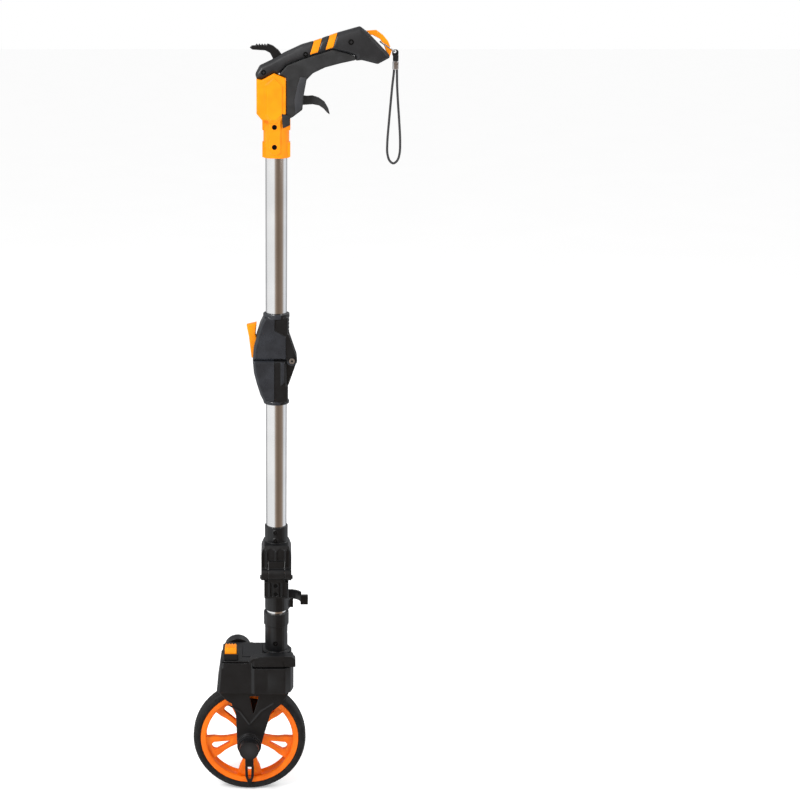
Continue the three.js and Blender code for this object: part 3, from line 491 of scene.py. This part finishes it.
def plate(name, outline, low, high, round_by, axis, material, body, holes=()):
    """A rounded flat piece: an outline of points in metres, thickened along an axis from low to high."""
    curve = bpy.data.curves.new(name, "CURVE")
    curve.dimensions = "2D"
    curve.fill_mode = "BOTH"
    for points in (outline, *holes):
        spline = curve.splines.new("POLY")
        spline.points.add(len(points) - 1)
        for point, (u, v) in zip(spline.points, points):
            point.co = (u, v, 0, 1)
        spline.use_cyclic_u = True
    curve.extrude = (high - low) / 2 - round_by
    curve.bevel_depth = round_by
    curve.bevel_resolution = 2
    curve.offset = -round_by
    flat = bpy.data.objects.new(name, curve)
    bpy.context.scene.collection.objects.link(flat)
    bpy.context.view_layer.update()
    mesh = bpy.data.meshes.new_from_object(flat)
    bpy.data.objects.remove(flat)
    middle = (low + high) / 2
    basis = {
        "X": Matrix(((0, 0, 1, middle), (1, 0, 0, 0), (0, 1, 0, 0), (0, 0, 0, 1))),
        "Y": Matrix(((1, 0, 0, 0), (0, 0, 1, middle), (0, 1, 0, 0), (0, 0, 0, 1))),
        "Z": Matrix.Translation((0, 0, middle)),
    }[axis]
    mesh.transform(basis)
    if basis.determinant() < 0:
        mesh.flip_normals()
    weld = bmesh.new()
    weld.from_mesh(mesh)
    bmesh.ops.remove_doubles(weld, verts=weld.verts, dist=1e-6)
    bmesh.ops.recalc_face_normals(weld, faces=weld.faces)
    weld.to_mesh(mesh)
    weld.free()
    piece = add_object(name, mesh, material, body)
    modified(piece, [("EDGE_SPLIT", {"split_angle": math.radians(38)})])
    return piece


def arc(cx, cy, radius, start, end, steps):
    return [
        (
            cx + radius * math.cos(math.radians(start + (end - start) * k / steps)),
            cy + radius * math.sin(math.radians(start + (end - start) * k / steps)),
        )
        for k in range(steps + 1)
    ]


def plus_outline(cx, cy, reach, half):
    corners = [(half, half), (half, reach), (-half, reach), (-half, half)]
    points = []
    for quarter in range(4):
        turn = math.pi / 2 * quarter
        c, s = math.cos(turn), math.sin(turn)
        points += [(cx + x * c - y * s, cy + x * s + y * c) for x, y in corners[:3]]
    return points


def screw(name, centre, axis, side, radius, body, material=None):
    """A countersunk cross-head screw, whose face is at the centre and looks to the given side of an axis."""
    u, v = {"X": (centre.y, centre.z), "Y": (centre.x, centre.z), "Z": (centre.x, centre.y)}[axis]
    face = {"X": centre.x, "Y": centre.y, "Z": centre.z}[axis]
    depth = 1.2 * MM * side
    low, high = sorted((face, face - depth))
    disc = arc(u, v, radius, 0, 360 - 15, 23)
    head = plate(
        name, disc, low, high, 0.25 * MM, axis, material or SCREW_BLACK, body,
        holes=[plus_outline(u, v, radius * 0.62, radius * 0.16)],
    )
    low, high = sorted((face - depth * 0.9, face - depth * 1.5))
    seat = arc(u, v, radius * 0.96, 0, 360 - 15, 23)
    plate(name + "_seat", seat, low, high, 0.1 * MM, axis, SCREW_BLACK, body)
    return head


# ---- Camera and light ----------------------------------------------------------------------------------


def make_camera():
    """The photograph's view: level with the tool's middle height, looking 15 degrees down."""
    camera = bpy.data.cameras.new("camera")
    camera.sensor_width = 36
    camera.lens = 67.0
    camera.shift_x = 0.1546
    camera.clip_end = 50
    holder = bpy.data.objects.new("camera", camera)
    holder.location = (POLE_X, -1.92, 0.065)
    holder.rotation_euler = (math.radians(90 - 15.23), 0, 0)
    bpy.context.scene.collection.objects.link(holder)
    bpy.context.scene.camera = holder


def area_light(name, place, aim, size, power, colour=(1, 1, 1)):
    light = bpy.data.lights.new(name, "AREA")
    light.shape = "RECTANGLE"
    light.size, light.size_y = size
    light.energy = power
    light.color = colour
    holder = bpy.data.objects.new(name, light)
    holder.location = place
    holder.rotation_euler = (Vector(aim) - Vector(place)).to_track_quat("-Z", "Y").to_euler()
    bpy.context.scene.collection.objects.link(holder)


def make_studio():
    """A white room, pale everywhere, with a soft brown shade on one side that only reflections see."""
    middle = (POLE_X, 0, -0.5)
    area_light("key", (-1.5, -1.5, 1.3), middle, (0.4, 0.8), 40)
    area_light("fill", (1.7, -1.3, 0.7), middle, (0.25, 1.6), 13)
    area_light("back", (0.9, 1.8, 1.2), middle, (0.6, 1.2), 14)
    world = bpy.data.worlds.new("studio")
    world.use_nodes = True
    tree = world.node_tree
    shown = tree.nodes["Background"]
    shown.inputs["Color"].default_value = (1, 1, 1, 1)
    shown.inputs["Strength"].default_value = 1.0
    soft = tree.nodes.new("ShaderNodeBackground")
    soft.inputs["Color"].default_value = (1, 1, 1, 1)
    soft.inputs["Strength"].default_value = 0.72
    seen = tree.nodes.new("ShaderNodeMixShader")
    coords = tree.nodes.new("ShaderNodeTexCoord")
    split = tree.nodes.new("ShaderNodeSeparateXYZ")
    tree.links.new(coords.outputs["Generated"], split.inputs["Vector"])
    shade = tree.nodes.new("ShaderNodeValToRGB")
    stops = [
        # compass direction in degrees, from the front towards the right
        (-180, (0.35, 0.35, 0.36)),
        (-136, (0.42, 0.42, 0.43)),
        (-112, (0.95, 0.95, 0.95)),
        (-24, (1.0, 1.0, 1.0)),
        (-8, (0.34, 0.26, 0.2)),
        (18, (0.17, 0.12, 0.085)),
        (58, (0.26, 0.19, 0.14)),
        (76, (0.4, 0.34, 0.3)),
        (88, (0.78, 0.8, 0.83)),
        (116, (0.85, 0.87, 0.9)),
        (136, (0.42, 0.42, 0.44)),
        (180, (0.35, 0.35, 0.36)),
    ]
    while len(shade.color_ramp.elements) < len(stops):
        shade.color_ramp.elements.new(0.5)
    for stop, (degrees, colour) in zip(shade.color_ramp.elements, stops):
        stop.position = (degrees + 180) / 360
        stop.color = (*colour, 1)
    front = tree.nodes.new("ShaderNodeMath")
    front.operation = "MULTIPLY"
    front.inputs[1].default_value = -1
    tree.links.new(split.outputs["Y"], front.inputs[0])
    compass = tree.nodes.new("ShaderNodeMath")
    compass.operation = "ARCTAN2"
    tree.links.new(split.outputs["X"], compass.inputs[0])
    tree.links.new(front.outputs["Value"], compass.inputs[1])
    across = tree.nodes.new("ShaderNodeMapRange")
    across.inputs["From Min"].default_value = -math.pi
    across.inputs["From Max"].default_value = math.pi
    tree.links.new(compass.outputs["Value"], across.inputs["Value"])
    tree.links.new(across.outputs["Result"], shade.inputs["Fac"])
    mirrored = tree.nodes.new("ShaderNodeBackground")
    tree.links.new(shade.outputs["Color"], mirrored.inputs["Color"])
    mirrored.inputs["Strength"].default_value = 0.9
    path = tree.nodes.new("ShaderNodeLightPath")
    choose = tree.nodes.new("ShaderNodeMixShader")
    tree.links.new(path.outputs["Is Glossy Ray"], choose.inputs["Fac"])
    tree.links.new(path.outputs["Is Camera Ray"], seen.inputs["Fac"])
    tree.links.new(soft.outputs["Background"], seen.inputs[1])
    tree.links.new(shown.outputs["Background"], seen.inputs[2])
    tree.links.new(seen.outputs["Shader"], choose.inputs[1])
    tree.links.new(mirrored.outputs["Background"], choose.inputs[2])
    tree.links.new(choose.outputs["Shader"], tree.nodes["World Output"].inputs["Surface"])
    bpy.context.scene.world = world
    bpy.context.scene.view_settings.view_transform = "Standard"
    bpy.ops.mesh.primitive_plane_add(size=60, location=(0, 0, AXLE.z - TYRE_R - 0.2 * MM))
    floor = bpy.context.object
    floor.name = "floor"
    floor.visible_glossy = False
    look = {"Specular_IOR_Level": 0.0, "Emission_Strength": 0.26}
    pale = new_material("pale_floor", (0.985, 0.985, 0.985), 1.0, **look)
    pale.node_tree.nodes["Principled BSDF"].inputs["Emission Color"].default_value = (1, 1, 1, 1)
    p = Painter(pale)
    p.colour(p.ramp(p.noise(0.4), (0.98, 0.98, 0.98), (0.99, 0.99, 0.99)))
    floor.data.materials.append(pale)


# ---- Tubes -----------------------------------------------------------------------------------------------


def make_tubes():
    for node in ("upper_tube", "middle_tube", "stem_tube"):
        low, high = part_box(node)
        profile = ring_profile(TUBE_R - 1.2 * MM, TUBE_R, low.z, high.z, 0.4 * MM)
        mesh = turned(profile, 96, Vector((POLE_X, 0, 0)))
        piece = add_object(node + "_drawn", mesh, TUBE, body_of[node])
        modified(piece, [("EDGE_SPLIT", {"split_angle": math.radians(40)})])
        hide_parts(node)


# ---- Wheel -----------------------------------------------------------------------------------------------

TYRE_SIDES = 456
DIMPLES = 38
RIM_R = TYRE_R - 10.3 * MM


def tyre_profile():
    """Half of a tyre's section, from the bead to the middle of the tread, as (radius, |y|)."""
    w = TYRE_HALF
    edge = [
        (RIM_R + 0.3 * MM, 0.86 * w),
        (RIM_R + 1.2 * MM, 0.96 * w),
        (RIM_R + 3.0 * MM, w),
        (RIM_R + 5.4 * MM, w),
        (TYRE_R - 2.9 * MM, 0.95 * w),
        (TYRE_R - 1.4 * MM, 0.84 * w),
        (TYRE_R - 0.5 * MM, 0.68 * w),
        (TYRE_R, 0.5 * w),
    ]
    fine = []
    for a, b in zip(edge, edge[1:]):
        fine += [tuple(Vector(a).lerp(Vector(b), t / 4)) for t in range(4)]
    fine.append(edge[-1])
    return fine


def make_tyre():
    half = tyre_profile()
    tread = [(TYRE_R, 0.5 * TYRE_HALF * (1 - k / 14)) for k in range(1, 28)]
    section = [(r, -y) for r, y in half] + [(r, -y) for r, y in tread] + [(r, y) for r, y in reversed(half)]
    mesh = turned(section, TYRE_SIDES, AXLE, "Y")
    ring = RIM_R + 5.6 * MM
    reach = 1.15 * MM
    for vertex in mesh.vertices:
        local = vertex.co - AXLE
        r, angle = math.hypot(local.x, local.z), math.atan2(local.z, local.x)
        side = abs(local.y) / TYRE_HALF
        if side > 0.8:
            spot = (angle / (2 * math.pi) * DIMPLES) % 1 - 0.5
            away = math.hypot(spot * 2 * math.pi * r / DIMPLES, r - ring)
            if away < reach * 1.5:
                depth = 1.1 * MM * math.exp(-((away / reach) ** 4))
                vertex.co.y -= math.copysign(depth, local.y)
        elif r > TYRE_R - 0.6 * MM:
            across = 0.5 + 0.5 * math.cos(local.y / (1.9 * MM) * 2 * math.pi)
            along = 0.5 + 0.5 * math.cos(angle * 114 + local.y / (8 * MM) * math.pi)
            fade = 1 - (side / 0.72) ** 8 if side < 0.72 else 0
            groove = 0.45 * MM * (across**6 + 0.6 * along**8) * fade
            vertex.co.x -= groove * math.cos(angle)
            vertex.co.z -= groove * math.sin(angle)
    piece = add_object("tyre_tread", mesh, TYRE_BLACK, "wheel")
    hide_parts("tyre")


def slab_mesh(outline, low, high):
    """A closed prism along Y from an outline of (x, z), in metres."""
    bm = bmesh.new()
    front = [bm.verts.new((x, low, z)) for x, z in outline]
    back = [bm.verts.new((x, high, z)) for x, z in outline]
    bm.faces.new(front)
    bm.faces.new(list(reversed(back)))
    for i in range(len(outline)):
        j = (i + 1) % len(outline)
        bm.faces.new((front[j], front[i], back[i], back[j]))
    bmesh.ops.recalc_face_normals(bm, faces=bm.faces)
    mesh = bpy.data.meshes.new("slab")
    bm.to_mesh(mesh)
    bm.free()
    return mesh


def boolean(base, tools, operation):
    """Joins or cuts the base object with the meshes, which are used up."""
    for mesh in tools:
        tool = bpy.data.objects.new("tool", mesh)
        bpy.context.scene.collection.objects.link(tool)
        modified(base, [("BOOLEAN", {"operation": operation, "solver": "EXACT", "object": tool})])
        bpy.data.objects.remove(tool)
    return base


def around_hub(radius, side, turn):
    c, s = math.cos(turn), math.sin(turn)
    return (AXLE.x + radius * c - side * s, AXLE.z + radius * s + side * c)


def spoke_outline(turn, inner):
    """A spoke flares from the hub to the rim."""
    left = [(10, 6.6), (20, 6.9), (30, 8.1), (40, 10.6), (48, 14.2), (inner / MM + 1.5, 18)]
    points = [(r * MM, w * MM) for r, w in left]
    up = [around_hub(r, w, turn) for r, w in points]
    down = [around_hub(r, -w, turn) for r, w in reversed(points)]
    return up + down


def teardrop(turn, near, far, small, large, steps=10):
    """A drop-shaped outline whose round end is towards the rim."""
    points = []
    for k in range(steps + 1):
        a = -math.pi / 2 * 0.9 + math.pi * 0.9 * k / steps
        points.append(around_hub(far + large * math.cos(a), large * math.sin(a), turn))
    for k in range(steps // 2 + 1):
        a = math.pi / 2 * 0.9 + math.pi * 1.1 * k / (steps // 2)
        points.append(around_hub(near + small * math.cos(a), small * math.sin(a), turn))
    return points


def make_rim():
    inner = RIM_R - 8.6 * MM
    w = TYRE_HALF
    section = rounded_profile(
        [
            (inner + 1.6 * MM, -w + 1.2 * MM),
            (RIM_R, -w + 1.0 * MM),
            (RIM_R, w - 1.0 * MM),
            (inner + 1.6 * MM, w - 1.2 * MM),
            (inner, w - 3.4 * MM),
            (inner + 3.2 * MM, 0.36 * w),
            (inner + 3.2 * MM, -0.36 * w),
            (inner, -w + 3.4 * MM),
        ],
        1.4 * MM,
        2,
    )
    rim = add_object("rim_moulding", turned(section, 144, AXLE, "Y"), RIM_ORANGE, "wheel")
    half_hub = [(5.0, 15.2), (13.5, 15.2), (15, 12)]
    hub = [(radius * MM, -depth * MM) for radius, depth in half_hub]
    hub += [(radius * MM, depth * MM) for radius, depth in reversed(half_hub)]
    boolean(rim, [turned(hub, 64, AXLE, "Y")], "UNION")
    turns = [-math.pi / 2 + 2 * math.pi * k / 5 for k in range(5)]
    for turn in turns:
        boolean(rim, [slab_mesh(spoke_outline(turn, inner), -3.4 * MM, 3.4 * MM)], "UNION")
    for turn in turns:
        drop = teardrop(turn, 31 * MM, 50 * MM, 1.7 * MM, 6.2 * MM, 16)
        boolean(rim, [slab_mesh(drop, -20 * MM, 20 * MM)], "DIFFERENCE")
    edges = {"limit_method": "ANGLE", "angle_limit": math.radians(40), "use_clamp_overlap": True}
    modified(rim, [("BEVEL", {"width": 0.8 * MM, "segments": 2, **edges})])
    for polygon in rim.data.polygons:
        polygon.use_smooth = True
    modified(rim, [("EDGE_SPLIT", {"split_angle": math.radians(42)})])
    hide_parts("rim")


# ---- Moulded nodes ------------------------------------------------------------------------------------------

POLE_Z = (POLE_PIN.z - GROUND) / MM
NECK = (NECK_Z - GROUND) / MM
HEAD = (HEAD_Z - GROUND) / MM
HUB_X = (AXLE.x - POLE_X) / MM
HUB_Z = TYRE_R / MM
HINGE_HALF = 17.0
SPLIT_Y = STEM_PIN.y / MM + 0.3


def pole_hinge_upper_details():
    recess = [(-2.4, 702), (-2.4, 671), (12.3, 663), (12.3, 630), (30, 630), (30, 702)]
    take = mirrored([front_prism(recess, -HINGE_HALF - 1, -HINGE_HALF + 1.5)])
    section = [(0.0148, 0), (0.0174, 0), (0.0174, 0.0064), (0.0148, 0.0064)]
    collar = turned(rounded_profile(section, 0.0012), 48, here(0, 0, POLE_Z + 55))
    ridges = [bar((15.4, -6, POLE_Z + z), (15.4, 6, POLE_Z + z), 1.7) for z in (52, 47.2, 42.4, 37.6)]
    return [collar, *ridges], take


def pole_hinge_lower_details():
    recess = [
        (-3, 628), (6, 628), (6, 597), (10.2, 601), (10.2, 628), (30, 628), (30, 582), (17, 560), (-3, 560),
    ]
    take = mirrored([front_prism(recess, -HINGE_HALF - 1, -HINGE_HALF + 1.4)])
    section = [(0.0148, 0), (0.0172, 0), (0.0172, 0.0044), (0.0148, 0.0044)]
    collar = turned(rounded_profile(section, 0.0012), 48, here(0, 0, POLE_Z - 61.4))
    return [collar], take


def stem_hinge_upper_details():
    front = SPLIT_Y
    panels = [(-18.6, -14.6), (-12, -1.6), (0.8, 11.4), (14, 18.6)]
    take = []
    for x0, x1 in panels:
        low = 354.6 if abs(x0 + x1) < 20 else 344.5
        outline = [(x0, low), (x1, low), (x1, 368), ((x0 + x1) / 2, 371.5), (x0, 368)]
        take.append(front_prism(outline, front - 2, front + 2.6))
    for side in (-1, 1):
        corner = [(16.2 * side, 376), (23 * side, 376), (23 * side, 362), (20.4 * side, 364)]
        take.append(front_prism(corner, -40, 30))
    flares = [bar((19.2 * s, -32.5, 333), (22.3 * s, -32.5, 333), 2.8, 16) for s in (-1, 1)]
    flares += [bar((x, front + 1, 344), (x, front + 1, 367), 1.5, 10) for x in (-13.2, 12.7)]
    seats = [bar((-1.6, -14, z), (-1.6, -16.3, z), 3.6, 20) for z in (390.5, 378.6)]
    return flares + seats, take


def stem_hinge_lower_details():
    front = SPLIT_Y
    take = []
    for x0, x1 in ((-15.6, -10.4), (-8.2, -5), (3.6, 6.8), (9, 15.6)):
        outline = [(x0, 302), (x1, 302), (x1, 322), (x0, 322)]
        take.append(front_prism(outline, front - 2, front + 2.4))
    take += [barrel(-0.8, z, 3.0, front - 2, front + 1.0, 24) for z in (317.5, 305.5)]
    return [], take


def neck_front():
    return -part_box("neck_shell_near")[0].y / MM


def fork_details():
    y = -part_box("head_shell_far")[1].y / MM
    lines = [(-67, 141), (-50, 131), (-36.5, 111), (-21, 131), (-3, 143)]
    ribs = [bar((x0, y, z0), (x1, y, z1), 1.1, 8) for (x0, z0), (x1, z1) in zip(lines, lines[1:])]
    arches = [
        barrel(HUB_X, HUB_Z + 0.6, 14.8, y - 3.4, y + 1),
        barrel(HUB_X, HUB_Z - 0.4, 13.9, y - 6.4, y + 1),
    ]
    return ribs + arches, []


def lean_in(co):
    """The head's left wall leans towards its top, and its right front is crowned."""
    x, z = (co.x - POLE_X) / MM, (co.z - GROUND) / MM - HEAD
    if z > 0:
        share = min(1, max(0, (-74.5 - x) / 8))
        co.x += 6.5 * MM * min(z, 50) / 45 * share * share * (3 - 2 * share)
        if co.y < 0 and -12 < x < 30 and z < 37:
            bulge = math.sin(math.pi * (x + 12) / 42) * math.sin(math.pi * min(1, max(0, z / 37)))
            co.y -= 2.2 * MM * max(0, bulge) * min(1, -co.y / (30 * MM))
    return co


def lid_details():
    top = HEAD + 48
    sweep = [
        (-37, HEAD + 43), (-37.5, top), (-34, top + 3.6), (-24, top + 6), (-8, top + 7.4), (12, top + 7.6),
        (22, top + 6.4), (26.5, top + 2), (26.5, HEAD + 39.5), (-30, HEAD + 39.5),
    ]
    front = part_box("counter_lid")[0].y / MM
    return [front_prism(sweep, front + 0.4, front + 13.5)], []


DETAILS = {
    "pole_hinge_upper": pole_hinge_upper_details,
    "pole_hinge_lower": pole_hinge_lower_details,
    "stem_hinge_upper": stem_hinge_upper_details,
    "stem_hinge_lower": stem_hinge_lower_details,
    "head_shell_near": fork_details,
    "counter_lid": lid_details,
}


def shorten(co):
    """The button's foot ends inside its collar."""
    co.z = max(co.z, HEAD_Z + 49.4 * MM)
    return co


def crown(co):
    """The handle's back is rounded across its width."""
    x, z = (co.x - POLE_X) / MM, (co.z - GROUND) / MM - NECK
    back = 122 + 0.36 * min(max(x, -20), 105)
    rise = min(1, max(0, (z - back + 13) / 16))
    co.y *= 1 - 0.2 * rise * rise
    return co


PUSHED = {
    "head_shell_near": lean_in,
    "head_shell_far": lean_in,
    "counter_lid": lean_in,
    "reset_button": shorten,
    "handle_shell_near": crown,
    "handle_shell_far": crown,
    "stripe_front": crown,
    "stripe_rear": crown,
}

ROUNDED = {
    # node: (voxel in mm, smoothing passes)
    "handle_shell_near": (0.8, 14),
    "handle_shell_far": (0.8, 14),
    "grip_near": (0.8, 12),
    "grip_far": (0.8, 12),
    "stripe_front": (0.5, 5),
    "stripe_rear": (0.5, 5),
    "neck_shell_near": (0.5, 5),
    "neck_shell_far": (0.5, 5),
    "lanyard_bow": (0.5, 9),
    "trigger": (0.45, 12),
    "thumb_lever": (0.4, 6),
    "pole_hinge_upper": (0.5, 5),
    "pole_hinge_lower": (0.5, 5),
    "hinge_lever": (0.45, 6),
    "stem_hinge_upper": (0.5, 4),
    "stem_hinge_lower": (0.5, 4),
    "stem_hinge_latch": (0.45, 5),
    "head_shell_near": (0.6, 5),
    "head_shell_far": (0.7, 5),
    "counter_lid": (0.55, 7),
    "reset_collar": (0.4, 4),
    "reset_button": (0.35, 4),
    "drive_cover": (0.7, 8),
    "ground_pointer": (0.3, 3),
    "storage_clip": (0.5, 6),
    "stem_socket": (0.5, 5),
    "lanyard_swivel": (0.3, 6),
    "lanyard_crimp": (0.3, 6),
}


def make_rounded():
    for node, (voxel, passes) in ROUNDED.items():
        add, take = DETAILS[node]() if node in DETAILS else ((), ())
        if node.startswith("neck_shell"):
            add, take = neck_on_side(-1 if node.endswith("near") else 1)
        soften(node, voxel * MM, passes, add, take, PUSHED.get(node))


def neck_on_side(side):
    """The neck's raised panel, its waist and the groove round the panel, for one shell half."""
    y0, y1 = (0.15, neck_front() + 0.9)
    panel = [(-7, 943.5), (-0.5, 943.5), (7, 951), (7, 986), (-3, 995), (-12, 987), (-12, 951)]
    meshes = [front_prism(panel, side * (neck_front() - 2), side * y1)]
    for way in (-1, 1):
        for z0, z1 in ((896, 915), (930, 944)):
            x0, x1 = sorted((13.2 * way, 17.9 * way))
            meshes.append(block(x0, x1, side * y0, side * 8.6, z0, z1))
    face = side * (neck_front() - 0.1)
    outline = [(-8.5, 941), (0.5, 941), (9.4, 949.6), (9.4, 987.2), (-3, 997.6), (-14, 988.4), (-14, 949.6)]
    grooves = [
        bar((x0, face, z0), (x1, face, z1), 0.95, 8)
        for (x0, z0), (x1, z1) in zip(outline, outline[1:] + outline[:1])
    ]
    return meshes, grooves


def skin_y(body_piece, x, z, side):
    """Where the surface lies along Y at (x, z), seen from one side."""
    target = bpy.data.objects[body_piece]
    origin = here(x, 200 * side, z)
    hit, place, *_ = target.ray_cast(origin, Vector((0, -side, 0)))
    return place.y if hit else 0.0


SCREWS = [
    # name, piece that holds it, x, z, side, radius, body
    ("handle_screw_front", "handle_shell_near_skin", -16, 1002, -1, 3.2, "handle_section"),
    ("handle_screw_middle", "handle_shell_near_skin", 36.5, 1024, -1, 3.2, "handle_section"),
    ("handle_screw_rear", "handle_shell_near_skin", 93, 1039, -1, 3.5, "handle_section"),
    ("neck_screw_upper", "neck_shell_near_skin", -2.4, 934.4, -1, 3.2, "handle_section"),
    ("neck_screw_lower", "neck_shell_near_skin", -2.4, 909.4, -1, 3.2, "handle_section"),
    ("stem_hinge_screw_top", "stem_hinge_upper_skin", -1.6, 390.5, -1, 2.5, "middle_section"),
    ("stem_hinge_screw_high", "stem_hinge_upper_skin", -1.6, 378.6, -1, 2.5, "middle_section"),
    ("stem_hinge_screw_low", "stem_hinge_lower_skin", -0.8, 317.5, -1, 2.4, "wheel_section"),
    ("stem_hinge_screw_foot", "stem_hinge_lower_skin", -0.8, 305.5, -1, 2.4, "wheel_section"),
    ("socket_screw", "stem_socket_skin", -1.3, 227, -1, 3.5, "wheel_section"),
    ("pointer_screw", "ground_pointer_skin", -38, 49.5, -1, 2.4, "wheel_section"),
    ("cover_screw_left", "drive_cover_skin", -50, 128, 1, 2.6, "wheel_section"),
    ("cover_screw_right", "drive_cover_skin", -34, 124, 1, 2.6, "wheel_section"),
]


def make_grip_panels():
    """The grip's toe that laps the neck, and the smoother panel on the trigger's housing."""
    for side, end in ((-1, "near"), (1, "far")):
        wall = neck_front() - 1.2
        toe = [(6.6, 951.5), (17.3, 948), (17.3, 937), (8.4, 933.2)]
        cheek = [(24, 951), (32, 958), (33.2, 971), (37, 996), (30, 996), (26.4, 985), (22.6, 968)]
        for name, outline, low, high, paint in (
            ("grip_toe_" + end, toe, wall - 2.2, wall + 0.4, GRIP),
            ("housing_panel_" + end, cheek, 14.4, 16.9, HOUSING),
        ):
            points = [tuple(here(x, 0, z).xz) for x, z in outline]
            y0, y1 = sorted((side * low * MM, side * high * MM))
            plate(name, points, y0, y1, 0.45 * MM, "Y", paint, "handle_section")


def make_screws():
    for name, holder, x, z, side, radius, body in SCREWS:
        bpy.context.view_layer.update()
        around = [skin_y(holder, x + d * (radius + 0.5), z, side) for d in (-1, 0, 1)]
        face = min(around) if side < 0 else max(around)
        centre = here(x, 0, z)
        centre.y = face + side * 0.35 * MM
        screw(name, centre, "Y", side, radius * MM, body)
    head = here(20.5, 0, POLE_Z)
    # Black discs flush with the hinge pin's ends: painted shade where the pin's dimples would be.
    for side, end in ((-1, "near"), (1, "far")):
        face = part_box("pole_hinge_pin")[0 if side < 0 else 1].y
        low, high = sorted((face - side * 0.6 * MM, face))
        plate(
            "pole_pin_dimple_" + end, arc(head.x, head.z, 1.5 * MM, 0, 340, 17), low, high, 0.1 * MM, "Y",
            SCREW_BLACK, "handle_section",
        )


def paint_the_rest():
    for name, node in nodes.items():
        node.data.materials.clear()
        node.data.materials.append(MATERIAL_OF_SLOT[slot_of[name]])


# ---- Cord --------------------------------------------------------------------------------------------------

CORD_ROUTE = [
    (148.4, 109.7), (148, 104), (146.6, 90), (144.9, 68), (143.2, 44), (141.7, 20), (142, 5),
    (145, -4), (149.8, -7.5), (154.8, -4), (157.6, 5), (158, 20), (156.4, 44), (154.3, 68),
    (152.7, 90), (152.2, 104), (152, 109.7),
]
CORD_R = 1.5 * MM


def centripetal(points, per_span):
    """The smooth line through the points that the tube's own route follows."""
    ends = [2 * points[0] - points[1], *points, 2 * points[-1] - points[-2]]
    line = []
    for p0, p1, p2, p3 in zip(ends, ends[1:], ends[2:], ends[3:]):
        d0, d1, d2 = ((b - a).length ** 0.5 for a, b in ((p0, p1), (p1, p2), (p2, p3)))
        m1 = ((p1 - p0) / d0 - (p2 - p0) / (d0 + d1) + (p2 - p1) / d1) * d1
        m2 = ((p2 - p1) / d1 - (p3 - p1) / (d1 + d2) + (p3 - p2) / d2) * d1
        for k in range(per_span):
            t = k / per_span
            line.append(
                p1 * (2 * t**3 - 3 * t**2 + 1)
                + m1 * (t**3 - 2 * t**2 + t)
                + p2 * (3 * t**2 - 2 * t**3)
                + m2 * (t**3 - t**2)
            )
    line.append(points[-1])
    return line


def make_cord():
    line = centripetal([at(x, 0, z, NECK_Z) for x, z in CORD_ROUTE], 8)
    curve = bpy.data.curves.new("wrist_cord_braid", "CURVE")
    curve.dimensions = "3D"
    spline = curve.splines.new("POLY")
    spline.points.add(len(line) - 1)
    for point, place in zip(spline.points, line):
        point.co = (*place, 1)
    curve.bevel_depth = CORD_R
    curve.bevel_resolution = 6
    curve.use_fill_caps = True
    curve.materials.append(BRAID)
    cord = bpy.data.objects.new("wrist_cord_braid", curve)
    bpy.context.scene.collection.objects.link(cord)
    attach(cord, "handle_section")
    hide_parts("wrist_cord")


make_camera()
make_studio()
paint_the_rest()
make_tubes()
make_tyre()
make_rim()
make_rounded()
make_grip_panels()
make_screws()
make_cord()
